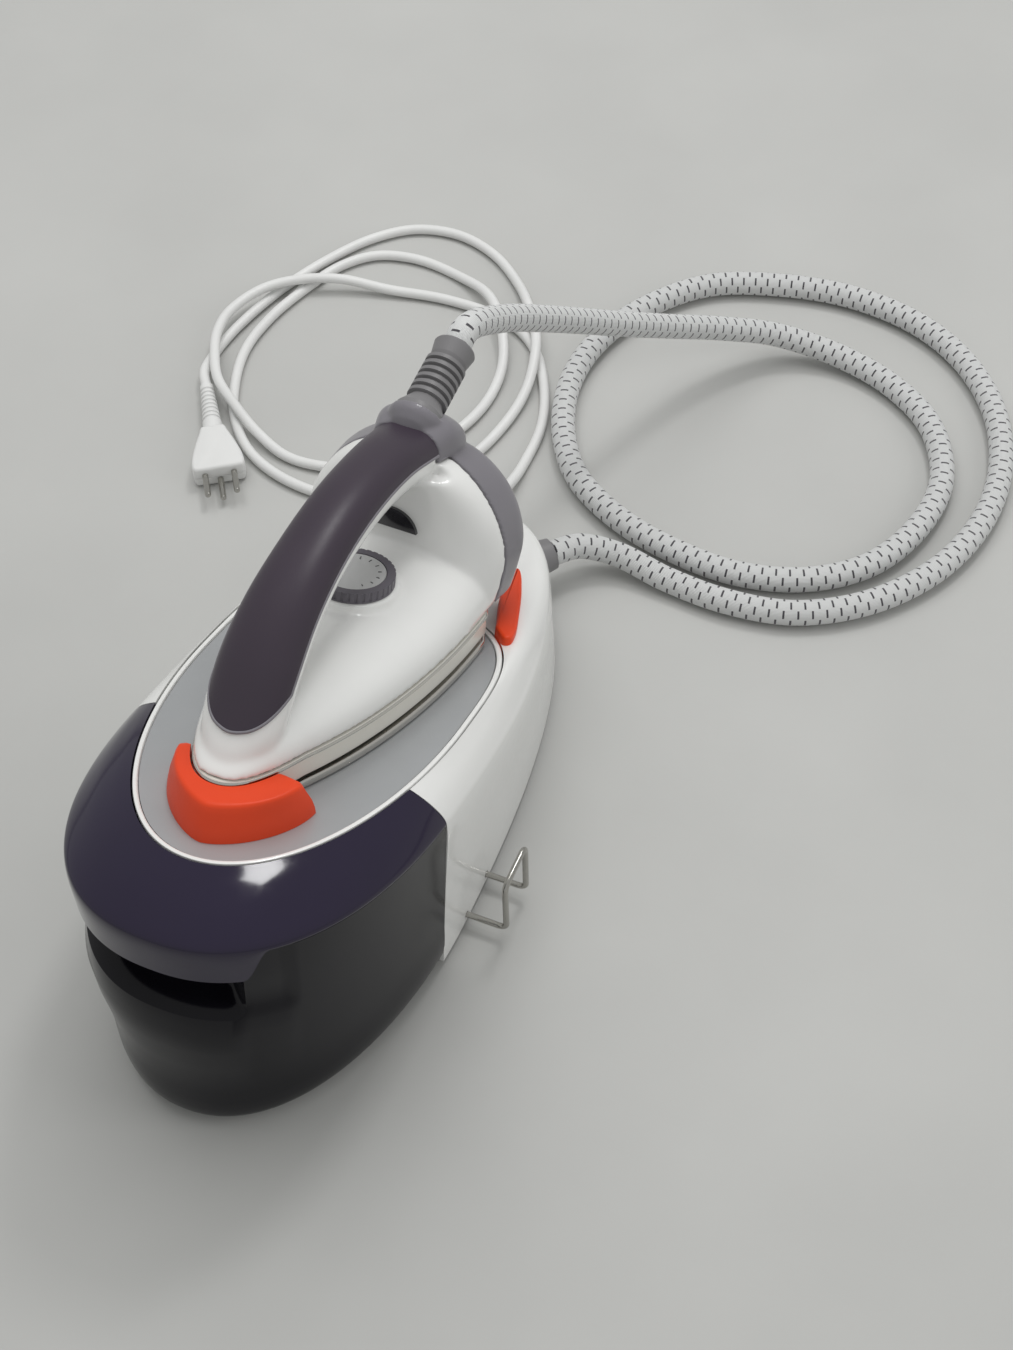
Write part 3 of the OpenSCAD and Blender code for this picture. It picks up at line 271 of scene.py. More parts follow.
# ---- Steam hose ----------------------------------------------------------------------
# Steam and wire hose inside a woven polyester sleeve, 16 mm over all. White yarn with a
# dark marker yarn that comes up in short staggered stitches, laid in nearly two turns.
TRAY_TILT, TRAY_FRONT, TRAY_TOP = math.radians(18), 57, 175
IRON_TURN, HEEL = math.radians(1.3), 245
BOOT_SPOT, BOOT_RISE = (0, 240, 117), math.radians(27)
HOSE_RADIUS, HOSE_SIDES, STITCH_PITCH = 8, 24, 8.5


def from_deck(p):
    """Millimetres from the tray's front edge, along its slope and square to it."""
    c, s = math.cos(TRAY_TILT), math.sin(TRAY_TILT)
    return np.array((p[0], TRAY_FRONT + p[1] * c + p[2] * s, TRAY_TOP - p[1] * s + p[2] * c))


def from_iron(p):
    """Millimetres of the iron, which stands on the tray turned a little about its heel."""
    x, y = p[0], p[1] - HEEL
    c, s = math.cos(IRON_TURN), math.sin(IRON_TURN)
    return from_deck((x * c + y * s, HEEL + y * c - x * s, p[2]))


boot_foot = from_iron(BOOT_SPOT)
boot_way = from_iron((0, BOOT_SPOT[1] + math.cos(BOOT_RISE),
                      BOOT_SPOT[2] + math.sin(BOOT_RISE))) - boot_foot
GLAND_SPOT, GLAND_TURN = np.array((34, 404, 26)), math.radians(40)
hose_way = np.array((math.sin(GLAND_TURN), math.cos(GLAND_TURN), 0))
hose_route = [
    list(GLAND_SPOT + 10 * hose_way), [53, 427, 22], [75, 436, 14], [110, 433, 8], [150, 430, 8],
    [192, 437, 8], [232, 462, 8], [263, 502, 8], [279, 550, 8], [279, 600, 8], [262, 650, 8],
    [230, 690, 8], [190, 714, 8], [140, 723, 8], [90, 716, 8], [45, 698, 8], [12, 662, 8],
    [-7, 620, 8], [-11, 575, 8], [1, 530, 8], [25, 494, 8], [62, 470, 8], [105, 457, 8],
    [150, 454, 8], [192, 466, 8], [224, 492, 8], [243, 533, 8], [246, 578, 8], [226, 622, 8],
    [190, 650, 8], [148, 661, 11], [108, 653, 22], [78, 627, 40], [54, 590, 66], [35, 548, 98],
    [20, 505, 133], [10, 465, 166], [4, 430, 194],
    list(boot_foot + 66 * boot_way), list(boot_foot + 52 * boot_way)]
hose_line = through(hose_route, 24)
sleeve = make_piece("steam_hose_sleeve", *skin_rings(along_tube(hose_line, HOSE_RADIUS, HOSE_SIDES)))
sleeve_map = sleeve.data.uv_layers.new(name="sleeve_map")
travelled = [0.0]
for a, b in zip(hose_line, hose_line[1:]):
    travelled.append(travelled[-1] + float(np.linalg.norm(b - a)))
for face in sleeve.data.polygons:
    ids = [sleeve.data.loops[k].vertex_index for k in face.loop_indices]
    sides_here = [v % HOSE_SIDES for v in ids]
    wraps = max(sides_here) - min(sides_here) > HOSE_SIDES / 2 and len(ids) == 4
    for k, v in zip(face.loop_indices, ids):
        turn = v % HOSE_SIDES
        turn = turn + HOSE_SIDES if wraps and turn < HOSE_SIDES / 2 else turn
        sleeve_map.data[k].uv = (travelled[v // HOSE_SIDES] / STITCH_PITCH, turn / HOSE_SIDES)


def woven_sleeve(rows, flecks):
    """White braid with painted shade in the hollows of its weave, and dark stitches that step half a
    pitch from one row to the next.
    """
    mat = bpy.data.materials.new("woven_sleeve")
    mat.use_nodes = True
    tree = mat.node_tree
    spot = new_node(tree, "ShaderNodeUVMap", {})
    spot.uv_map = "sleeve_map"
    parts = new_node(tree, "ShaderNodeSeparateXYZ", {"Vector": spot.outputs["UV"]}).outputs

    def figure(kind, a, b=0.0):
        node = new_node(tree, "ShaderNodeMath", {0: a, 1: b})
        node.operation = kind
        return node.outputs[0]

    def colour_mix(share, a, b):
        node = tree.nodes.new("ShaderNodeMix")
        node.data_type = "RGBA"
        return set_inputs(tree, node, {0: share, 6: a, 7: b}).outputs[2]

    across = figure("MULTIPLY", parts["Y"], rows)
    stagger = figure("MULTIPLY", figure("MODULO", figure("FLOOR", across), 2.0), 0.5)
    along = figure("FRACT", figure("ADD", parts["X"], stagger))
    from_middle = figure("ABSOLUTE", figure("SUBTRACT", along, 0.5))
    from_row = figure("ABSOLUTE", figure("SUBTRACT", figure("FRACT", across), 0.5))
    stitch = figure("MULTIPLY", figure("LESS_THAN", from_middle, 0.07),
                    figure("LESS_THAN", from_row, 0.42))
    lengthways = figure("MULTIPLY", parts["X"], 9.0)
    around = figure("MULTIPLY", parts["Y"], 30.0)
    rib, cross_rib = [figure("SINE", figure("MULTIPLY", figure(sign, lengthways, around), 2 * math.pi))
                      for sign in ("ADD", "SUBTRACT")]
    weave = figure("MULTIPLY", rib, cross_rib)
    # Painted shade: the yarn's colour runs from 0.86 on the crests of the weave down to 0.66 in its
    # hollows.
    lift = new_node(tree, "ShaderNodeMapRange", {"Value": weave, "From Min": -1})
    yarn_with_painted_shade = colour_mix(lift.outputs["Result"], (0.66, 0.67, 0.67, 1), (0.86, 0.86, 0.85, 1))
    relief = new_node(tree, "ShaderNodeBump", {"Height": weave, "Distance": 0.0003, "Strength": 0.7})
    set_inputs(tree, tree.nodes["Principled BSDF"], {
        "Roughness": 0.62, "Sheen Weight": 0.25, "Base Color": colour_mix(stitch, yarn_with_painted_shade, (*flecks, 1)),
        "Normal": relief.outputs["Normal"]})
    return mat


sleeve.data.materials.append(woven_sleeve(8, (0.06, 0.055, 0.065)))
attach(sleeve, "iron")
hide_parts("steam_hose")

# ---- Base pan, feet and what is inside ------------------------------------------------
# Ribbed dark polypropylene pan on four rubber feet. Pump, valve seat, control board and
# water tubes are screwed or pushed onto it, out of sight under the housing.
dark_moulding = finish_of("dark_moulding", (0.05, 0.05, 0.055), 0.45, grain=700, dent=0.00008)
black_rubber = finish_of("black_rubber", (0.022, 0.022, 0.024), 0.75, grain=1200, dent=0.00008)
zinc_screw = finish_of("zinc_screw", (0.58, 0.58, 0.6), 0.3, metal=1.0, grain=1600)
water_tube = finish_of("silicone_tube", (0.7, 0.71, 0.7), 0.35, grain=500)
board_green = finish_of("board_green", (0.02, 0.12, 0.05), 0.4, grain=1300)
cast_metal = finish_of("cast_metal", (0.4, 0.4, 0.41), 0.55, metal=0.9, grain=500, dent=0.0002)
cream_moulding = finish_of("cream_moulding", (0.66, 0.62, 0.53), 0.5, grain=600)
inside = {
    dark_moulding: ("base_pan", "valve_seat", "tank_valve", "board_parts", "hook_guides"),
    black_rubber: ("feet", "valve_seal", "pump_mounts", "micro_switch"),
    zinc_screw: ("base_screws", "iron_screws", "dial_spindle"),
    water_tube: ("pump_inlet_tube", "pump_outlet_tube", "steam_tube"),
    board_green: ("control_board",),
    cast_metal: ("pump", "heater_casting", "thermostat"),
    cream_moulding: ("terminal_block",),
}
for finish, names in inside.items():
    for name in names:
        dress_node(name, finish)

# ---- Housing -------------------------------------------------------------------------
# One thin glossy white shell for the rear two thirds of the base. It stands on the pan,
# rolls over at the shoulder and runs up to the tray's ring; its front edge leans back.
WALL, ARC_STEPS = 2.6, 150
BASE_LENGTH, BASE_HALF, WIDEST_AT = 407, 90, 165
FRONT_LEAN, REAR_LEAN, SEAM_FOOT, SEAM_LEAN = 0.065, 0.14, 134, 0.11
WALL_FOOT, RING_SPOT, RING_HALF = 4, 205, 74
HOOK_LEGS, HOOK_HEIGHT = (164, 192), 9


def signed_power(c, e):
    return math.copysign(abs(c) ** e, c)


def blend_of(a, b, t):
    return a + (b - a) * t


def within(t):
    return max(0.0, min(1.0, t))


def eased(t):
    t = within(t)
    return t * t * (3 - 2 * t)


def front_at(z, inset):
    return FRONT_LEAN * max(0, z - 14) + inset


def front_bulge(z):
    return blend_of(2.1, 2.3, within(z / 150))


def wall_plan(a, z, inset):
    """Plan of the outer wall at angle a (nought at the front) and height z."""
    half = BASE_HALF + 1.5 * within(z / 150) - inset
    c = math.cos(math.radians(a))
    e = 2 / (front_bulge(z) if c >= 0 else 2.5)
    rear = BASE_LENGTH - REAR_LEAN * max(0, z - WALL_FOOT) - inset
    x = half * signed_power(math.sin(math.radians(a)), e)
    reach = (front_at(z, inset) if c >= 0 else rear) - WIDEST_AT
    return x, WIDEST_AT + reach * abs(c) ** e


def angle_at(y, z, inset):
    """The angle at which the front half of the wall is y from the tank's front."""
    share = (WIDEST_AT - y) / (WIDEST_AT - front_at(z, inset))
    return math.degrees(math.acos(share ** (front_bulge(z) / 2)))


def wall_point(a, z, inset):
    return (*wall_plan(a, z, inset), z)


def tray_height(y):
    return TRAY_TOP - (y - TRAY_FRONT) * math.tan(TRAY_TILT)


def shoulder_height(y):
    return tray_height(y) - 18 + 26 * eased((y - 240) / 150)


def seam_at(z):
    return SEAM_FOOT + SEAM_LEAN * z


def shoulder_point(a, inset, drop):
    """A point of the wall at angle a, so far below the shoulder there."""
    z = shoulder_height(wall_plan(a, 150, inset)[1]) - drop
    z = shoulder_height(wall_plan(a, z, inset)[1]) - drop
    return (*wall_plan(a, z, inset), z)


def seam_point(inset, drop, gap):
    """Angle, place and height where the seam crosses the wall, so far below the shoulder."""
    z = shoulder_height(SEAM_FOOT) - drop
    z = shoulder_height(seam_at(z)) - drop
    y = seam_at(z) - gap
    return angle_at(y, z, inset), y, z


def ring_point(a, grow, lift):
    """A point of the tray's ring, which is blunter behind than in front."""
    a = (a + 360) % 360
    side = -1 if a > 180 else 1
    a = 360 - a if a > 180 else a
    b = math.radians(a - 17.5 * math.sin(math.radians(a)))
    c = math.cos(b)
    e = 2 / (2.05 if c >= 0 else 3.5)
    y = RING_SPOT - (148 + grow) * c ** e if c >= 0 else RING_SPOT + (87 + grow) * (-c) ** e
    return side * (RING_HALF + grow) * abs(math.sin(b)) ** e, y, tray_height(y) + lift


def towards_ring(a, t, bulge):
    s, r = np.array(shoulder_point(a, 1, 0)), np.array(ring_point(a, 3.8, 0.8))
    return tuple(s + (r - s) * t + np.array((0, 0, bulge)))


def shell_faces(outer, inner, closed=False):
    """A thin wall between two grids of points, closed along its free edges."""
    n, m = len(outer), len(outer[0])
    points = [p for row in outer for p in row] + [p for row in inner for p in row]
    o, faces = n * m, []
    for i in range(n if closed else n - 1):
        a, b = i * m, ((i + 1) % n) * m
        for k in range(m - 1):
            faces += [(a + k, b + k, b + k + 1, a + k + 1),
                      (o + b + k, o + a + k, o + a + k + 1, o + b + k + 1)]
        faces += [(a, o + a, o + b, b), (a + m - 1, b + m - 1, o + b + m - 1, o + a + m - 1)]
    if not closed:
        for a in (0, (n - 1) * m):
            faces += [(a + k, a + k + 1, o + a + k + 1, o + a + k) for k in range(m - 1)]
    return points, faces


def housing_row(t, inner):
    """From the foot of the wall up over the shoulder to the ring; t runs from seam to seam."""
    w = WALL if inner else 0.0
    seams = (angle_at(seam_at(WALL_FOOT), WALL_FOOT, w), seam_point(w, 60, 0)[0], seam_point(w, 5, 0)[0],
             seam_point(0, 0, 0)[0])
    foot, mid, near, top = [s + (360 - 2 * s) * t for s in seams]
    belly = min(60, 0.5 * shoulder_height(wall_plan(mid, 50, w)[1]))
    return through([wall_point(foot, WALL_FOOT, w), shoulder_point(mid, w, belly),
                    shoulder_point(near, w, 5 + w * 0.3), shoulder_point(top, w + 1.6, w),
                    towards_ring(top, 0.35, 2.2 - w), towards_ring(top, 0.7, 1.6 - w),
                    ring_point(top, 3.8, 0.8 - w)], 5)


gloss_white = finish_of("gloss_white", (0.8, 0.8, 0.785), 0.2, coat=0.4, vary=0.015, grain=260,
                        dent=0.00002)
steps = [i / ARC_STEPS for i in range(ARC_STEPS + 1)]
housing = make_piece("housing_shell", *shell_faces(
    *[[housing_row(t, inner) for t in steps] for inner in (False, True)]), finish=gloss_white)


def bake(piece):
    """Gives the piece the mesh that its modifiers make."""
    bpy.context.view_layer.update()
    made = piece.evaluated_get(bpy.context.evaluated_depsgraph_get())
    piece.data = bpy.data.meshes.new_from_object(made)
    piece.modifiers.clear()


def cut_from(piece, cutters):
    """Takes the cutters out of the piece and leaves its object with the new mesh."""
    for cutter in cutters:
        cutting = piece.modifiers.new("cut", "BOOLEAN")
        cutting.operation = "DIFFERENCE"
        cutting.solver = "EXACT"
        cutting.object = cutter
    bake(piece)
    settle_edges(piece.data)
    for cutter in cutters:
        bpy.data.objects.remove(cutter)


leg_holes = [along_tube([(70, y, HOOK_HEIGHT), (112, y, HOOK_HEIGHT)], 2.15, 24) for y in HOOK_LEGS]
cut_from(housing, [make_piece("leg_hole", *skin_rings(hole)) for hole in leg_holes])
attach(housing, "base")
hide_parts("housing")

# ---- Tray and its ring ----------------------------------------------------------------
# The iron parks on a flat tray moulded in silver-grey with a satin grain. A thin white
# ring is pressed round it and stands a little proud, with a dark gap outside.
satin_silver = finish_of("satin_silver", (0.4, 0.41, 0.42), 0.38, metal=0.35, vary=0.05, grain=1500,
                         dent=0.00006)
dress_node("tray", satin_silver)
ring_outside = [(3, -3.5), (3, 0.1), (2.6, 0.9), (1.9, 1.2)]
ring_inside = [(0.1, -3.5), (0.1, 0.2), (0.5, 1.0), (1.2, 1.25)]
tray_ring = make_piece("tray_ring", *shell_faces(
    *[[[ring_point(i * 2, g, h) for g, h in half] for i in range(180)]
      for half in (ring_outside, ring_inside)], closed=True), finish=gloss_white)
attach(tray_ring, "base")
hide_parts("tray_rim")

# ---- Front stop and rear pads ----------------------------------------------------------
# Orange silicone rests that keep the hot plate off the tray: a wedge the nose butts
# against and two pads by the heel, each pushed through the tray from above.


def on_deck(p):
    return on_stand(from_deck(p))


def on_iron(p):
    return on_stand(from_iron(p))


WIDEST_PLATE = 215


def plate_half(v, nose, half):
    """Half width of the plate v along the iron, which is pointed in front and then nearly round."""
    fullness = blend_of(0.5, 0.69, within((v - nose) / 40))
    return half * (1 - within((WIDEST_PLATE - v) / (WIDEST_PLATE - nose)) ** 2) ** fullness


def plate_outline(nose, heel, half, count=60):
    """Outline of the plate from its nose round to a heel with drawn-in corners."""
    side = []
    for i in range(count + 1):
        v = nose + (heel - nose) * (i / count) ** 2
        side.append((plate_half(v, nose, half) * (1 - 0.22 * within((v - heel + 18) / 18) ** 3), v))
    return side + [(-x, v) for x, v in side[:0:-1]]


def stop_ring(z, trim):
    """One level of the wedge, drawn in by trim, from its tip to its straight back."""
    tip, shoulder, half = 10 + trim, 56 - trim, 39 - trim
    reach = [blend_of(tip, shoulder, (i / 30) ** 1.6) for i in range(31)]
    side = [(half * (1 - (1 - (v - tip) / (shoulder - tip)) ** 1.7) ** 0.66, v) for v in reach]
    side += [(side[-1][0] * 0.93, 58 - trim), (side[-1][0] * 0.7, 59 - trim)]
    return [(x, y, z) for x, y in side + [(-x, y) for x, y in side[:0:-1]]]


orange_silicone = finish_of("orange_silicone", (0.74, 0.052, 0.006), 0.45, vary=0.08, grain=800,
                            dent=0.00006)
front_stop = make_piece("front_stop_wedge", *skin_rings([stop_ring(z, t) for z, t in (
    (0.1, 0), (4, 0.5), (9, 1.7), (15, 4), (18, 5), (19.3, 5.9), (19.9, 7), (20, 8.5))]),
    finish=orange_silicone, where=on_deck)
nose_room = make_piece("nose_room", *skin_rings([[(x, y, z) for x, y in plate_outline(30, 130, 59.4)]
                                                 for z in (0.2, 30)]), where=on_iron)
cut_from(front_stop, [nose_room])
pad_corners = [(58, 239.5), (62, 235.3), (66.5, 232), (69.5, 233.5), (69.5, 241), (64.5, 259),
               (57.5, 280), (48.5, 300), (46, 300), (46.5, 281), (50.5, 262), (56, 246)]
pad_line = through(pad_corners + [pad_corners[0]], 5)[:-1]
rests = [front_stop]
for side in (1, -1):
    pad = [(side * x, y) for x, y in pad_line]
    rests.append(make_piece("rear_pad_" + ("right" if side > 0 else "left"), *skin_rings(slab_rings(
        pad, [(-6.8, 0), (5.6, 0), (6.4, 0.3), (6.9, 0.9), (7, 1.8)], (side * 59, 266))),
        finish=orange_silicone, where=on_deck))
for piece in rests:
    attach(piece, "base")
    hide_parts("front_stop" if piece is front_stop else "rear_pads")

# ---- Water tank ------------------------------------------------------------------------
# Pull-out tank in smoked polycarbonate, so dark that the water only shows as a shade. A
# finger recess is moulded into the front under the collar's lip.
LIP_RIGHT, LIP_LEFT, TANK_GAP = 32, -64, 0.6


def recess(a, t):
    """Depth of the finger recess at angle a: a shallow step all along and a deep grip."""
    near = within((a - LIP_LEFT + 7) / 3) * within((LIP_RIGHT + 7 - a) / 3)
    grip = eased((a - LIP_LEFT - 1) / 8) * eased((LIP_RIGHT - 5 - a) / 9)
    return t * max(2.9 * near, 20 * grip)


def tank_back(points, s, y, z, inset):
    """Closes a ring of the tank with its flat back at the seam."""
    x = wall_plan(s, z, inset)[0]
    return points + [(blend_of(-x, x, t), y, z) for t in (0.75, 0.5, 0.25)]


def tank_low(z, inset):
    """A level ring of the tank at height z."""
    y = seam_at(z) - TANK_GAP - (inset if inset > 1 else 0)
    s = angle_at(y, z, inset)
    return tank_back([wall_point(blend_of(-s, s, t), z, inset) for t in steps], s, y, z, inset)


def tank_high(drop, inset, t):
    """A ring of the tank that stays so far below the shoulder, with a share t of the recess."""
    s, y, z = seam_point(inset, drop, TANK_GAP + (inset if inset > 1 else 0))
    angles = [blend_of(-s, s, k) for k in steps]
    return tank_back([shoulder_point(a, inset + recess(a, t), drop) for a in angles], s, y, z, inset)


def between_rings(rings, count):
    """More rings between these, so that the wall runs through them in one sweep."""
    columns = [through(column, count) for column in zip(*rings)]
    return [list(row) for row in zip(*columns)]


smoked = finish_of("smoked_polycarbonate", (0.006, 0.0055, 0.008), 0.16, vary=0.2, cloud=9, grain=300,
                   dent=0.00001, spread=0.03, shine=0.22)
tank_outside = between_rings([
    tank_low(5.3, 7), tank_low(8, 2), tank_low(14, 0), tank_low(45, 0), tank_high(63, 0, 0),
    tank_high(51, 0, 1), tank_high(27, 0, 1), tank_high(4, 0, 1)], 4)
tank_inside = [tank_high(4, WALL, 1), tank_high(27, WALL, 1), tank_high(51, WALL, 1),
               tank_high(63, WALL, 0), tank_low(45, WALL), tank_low(14, WALL + 1), tank_low(8.2, 9)]
tank = make_piece("tank_shell", *skin_rings(tank_outside + tank_inside), finish=smoked)
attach(tank, "tank")
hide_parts("tank_body")

# ---- Tank collar, lid and filler -------------------------------------------------------
# High-gloss dark purple cap welded to the tank. It drops into a deep lip over the finger
# recess and shuts against the tray's ring; a lid with the filler closes the tank below.


def collar_row(t, inner):
    """From the collar's lower edge up over the shoulder to the ring; t runs from side to side."""
    w = WALL if inner else 0.0
    top, low = seam_point(0, 0, TANK_GAP)[0], seam_point(w, 4, TANK_GAP)[0]
    a, b = blend_of(-top, top, t), blend_of(-low, low, t)
    deep = eased((b - LIP_LEFT + 1) / 7) * eased((LIP_RIGHT + 1 - b) / 8)
    return through([shoulder_point(b, w, blend_of(3.6, 27, deep)), shoulder_point(b, w, 2.5),
                    shoulder_point(a, w + 1.2, w * 0.8), towards_ring(a, 0.35, 2.2 - w),
                    towards_ring(a, 0.7, 1.6 - w), ring_point(a, 3.8, 0.8 - w)], 6)


purple_gloss = finish_of("purple_gloss", (0.015, 0.010, 0.030), 0.1, coat=0.2, vary=0.06, grain=260,
                         dent=0.00001, spread=0.03, shine=0.35)
collar = make_piece("tank_collar_shell", *shell_faces(
    *[[collar_row(t, inner) for t in steps] for inner in (False, True)]), finish=purple_gloss)
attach(collar, "tank")
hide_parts("tank_collar")
dress_node("tank_lid", purple_gloss)
dress_node("fill_plug", black_rubber)

# ---- Hose hook -------------------------------------------------------------------------
# A bow of nickel-plated wire, 3.5 mm thick, bent square. Its two legs slide in guides on
# the pan, so that it pulls out of the right wall to hold the wound hose.


def bent(corner, start, end, radius=5.0, count=8):
    """A round bend at a corner between two straight runs."""
    c, a, b = (np.array(p, float) for p in (corner, start, end))
    u, v = (a - c) / np.linalg.norm(a - c), (b - c) / np.linalg.norm(b - c)
    middle = c + radius * (u + v)
    return [middle - radius * (math.cos(t) * v + math.sin(t) * u)
            for t in [math.pi / 2 * k / count for k in range(count + 1)]]


HOOK_END, HOOK_REACH, HOOK_TOP = 58, 114, 52
front_leg, rear_leg = HOOK_LEGS
hook_corners = [(HOOK_END, front_leg, HOOK_HEIGHT), (HOOK_REACH, front_leg, HOOK_HEIGHT),
                (HOOK_REACH, front_leg, HOOK_TOP), (HOOK_REACH, rear_leg, HOOK_TOP),
                (HOOK_REACH, rear_leg, HOOK_HEIGHT), (HOOK_END, rear_leg, HOOK_HEIGHT)]
hook_line = [np.array(hook_corners[0], float)]
for a, c, b in zip(hook_corners, hook_corners[1:], hook_corners[2:]):
    hook_line += bent(c, a, b)
hook_line.append(np.array(hook_corners[-1], float))
hook = make_piece("hose_hook_wire", *skin_rings(along_tube(hook_line, 1.75, 20)), finish=nickel)
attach(hook, "hook")
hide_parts("hose_hook")

# ---- Glands ----------------------------------------------------------------------------
# Moulded collars in the rear wall: a grey one grips the hose's sleeve, a white tapered
# one the lead.
grey_soft = finish_of("grey_soft", (0.2, 0.195, 0.2), 0.45, grain=900, dent=0.00006)
dress_node("hose_gland", grey_soft)
dress_node("lead_gland", white_lead)

# ---- Soleplate -------------------------------------------------------------------------
# Pressed stainless plate with a polished, rolled edge and steam holes along both sides;
# the heater casting is screwed to its back.
polished_steel = finish_of("polished_steel", (0.66, 0.64, 0.6), 0.16, metal=1.0, vary=0.04, grain=1400)
plate = make_piece("soleplate_pressing", *skin_rings(slab_rings(
    plate_outline(31.2, 240, 58.3), [(0.4, 1.3), (0.7, 0.5), (1.3, 0.05), (4.4, 0.05), (5.1, 0.5),
                                     (5.4, 1.2)], (0, 150))), finish=polished_steel, where=on_iron)
HOLE_PITCH, HOLE_MARGIN, HOLE_RADIUS = 16, 12, 1.2
hole_spots = [(s * (plate_half(v, 33, 56) - HOLE_MARGIN), v)
              for v in range(67, 181, HOLE_PITCH) for s in (1, -1)] + [(0, 55), (0, 73)]
cut_from(plate, [make_piece("steam_hole", *skin_rings(along_tube(
    [(x, v, -1), (x, v, 2.4)], HOLE_RADIUS, 16)), where=on_iron) for x, v in hole_spots])
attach(plate, "iron")
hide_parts("soleplate")

# ---- Heat skirt ------------------------------------------------------------------------
# Heat-proof band in pearly cream that shields the hot casting, clipped to the body. A
# bright bead runs along its upper edge.


def skirt_ring(z, grow):
    """One level of the band, which leans in a little as it rises."""
    return [(x, y, z) for x, y in plate_outline(30 - grow + z * 0.1, 241 + grow, 57 + grow - z * 0.03)]


skirt_levels = [(8.5, 0), (9.2, 0.5), (11, 0.7), (14, 0.7), (17.5, 0.5), (18.6, 0.35), (18.9, 0.9),
                (19.6, 1.2), (20.3, 0.9), (20.6, 0.2), (21, 0)]
BEAD_FROM, BEAD_TO = 18.7, 20.7
outer = list(zip(*[skirt_ring(z, g) for z, g in skirt_levels]))
inner = list(zip(*[skirt_ring(z, -2) for z, g in skirt_levels]))
pearl = finish_of("pearl_cream", (0.7, 0.68, 0.62), 0.3, coat=0.4, vary=0.03, grain=500)
skirt = make_piece("heat_skirt_band", *shell_faces(outer, inner, closed=True), finish=pearl,
                   where=on_iron)
skirt.data.materials.append(polished_steel)
deck_up = Vector((0, math.sin(TRAY_TILT), math.cos(TRAY_TILT)))
deck_foot = on_deck((0, 0, 0))
for face in skirt.data.polygons:
    rise = (Vector(face.center) - deck_foot).dot(deck_up) * 1000
    face.material_index = 1 if BEAD_FROM < rise < BEAD_TO else 0
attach(skirt, "iron")
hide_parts("heat_skirt")

# ---- Iron body -------------------------------------------------------------------------
# Glossy white shell: the low hull over the plate, the front strut and bar of the handle,
# the rear pillar and the seat of the dial flow into each other in one moulding.
BODY_FOOT, BODY_NOSE, BAR_BELOW, DIAL_SPOT = 21.3, 32.5, 15, 176
HANDLE = [(58, 33, 18), (77, 61.5, 18.5), (98, 81, 17), (126, 95.5, 15.5), (160, 105.5, 15),
          (198, 108.5, 15.3), (229, 105.5, 17)]  # along the iron, height, half width
handle_line = through(HANDLE, 14)
strut_line = through([(48, 12, 9), (52, 23, 13.5)] + HANDLE, 14)
PILLAR = through([(BODY_FOOT, 205, 241, 271, 56.3), (36, 212, 242, 273, 58.5), (52, 218, 243, 276, 59),
                  (70, 220, 242.5, 275, 54), (86, 219, 242, 272, 44), (96, 217, 241.5, 268, 34),
                  (103, 214, 241, 262, 23)], 5)  # height, front, seam, back, half width


def body_ring(v):
    """One section of the low hull: flat below, with flanks that round over to a ridge."""
    half = max(1.2, plate_half(v, 31.5, 56.5))
    ridge = blend_of(34, 50, within((v - 36) / 110) ** 0.7) + 9 * within((v - 150) / 90) ** 2
    rise = max(1.5, (ridge - BODY_FOOT) * within((v - BODY_NOSE) / 26) ** 0.55)
    over = [math.pi * i / 40 for i in range(1, 40)]
    return [(half, v, BODY_FOOT), *[(half * signed_power(math.cos(t), 0.87), v,
                                     BODY_FOOT + rise * math.sin(t) ** 0.8) for t in over],
            (-half, v, BODY_FOOT)]


def handle_ring(i, wide, high, start=0.0, end=360.0, count=40, line=handle_line):
    """A section of the bar, or an arc of it, so much wider and higher than its middle line."""
    v, w, half = line[i]
    a, b = line[max(0, i - 1)], line[min(len(line) - 1, i + 1)]
    d = np.array((b[0] - a[0], b[1] - a[1]))
    d = d / np.linalg.norm(d)
    ring = []
    for k in range(count):
        t = math.radians(start + (end - start) * k / (count if end - start >= 360 else count - 1))
        h = (high if math.sin(t) > 0 else BAR_BELOW) * signed_power(math.sin(t), 0.9)
        ring.append(((half + wide) * signed_power(math.cos(t), 0.9), v - d[1] * h, w + d[0] * h))
    return ring


def pillar_ring(q):
    """A level of the pillar, from the seam with the rear cover round its front."""
    height, front, seam, back, half = q
    turns = [math.radians(a) for a in range(-90, 91, 6)]
    return [(half * signed_power(math.sin(t), 0.85),
             seam - 0.3 - (seam - front) * max(0, math.cos(t)) ** 0.85, height) for t in turns]


def joined(pieces):
    """Puts the meshes of several bodies into the first one's object."""
    bm = bmesh.new()
    for piece in pieces:
        bm.from_mesh(piece.data)
    bm.to_mesh(pieces[0].data)
    bm.free()
    for piece in pieces[1:]:
        bpy.data.objects.remove(piece)
    return pieces[0]


def one_moulding(piece, grid, rounds):
    """Melts overlapping bodies into one skin and rounds the creases between them."""
    flowing = piece.modifiers.new("one_moulding", "REMESH")
    flowing.mode = "VOXEL"
    flowing.voxel_size = grid
    rounding = piece.modifiers.new("rounding", "SMOOTH")
    rounding.factor = 0.5
    rounding.iterations = rounds


def box_cutter(name, x, v, w):
    """A box x to both sides, with its two ends along the iron and its two levels."""
    corners = ((-x, v[0]), (x, v[0]), (x, v[1]), (-x, v[1]))
    return make_piece(name, *skin_rings([[(*c, level) for c in corners] for level in w]), where=on_iron)


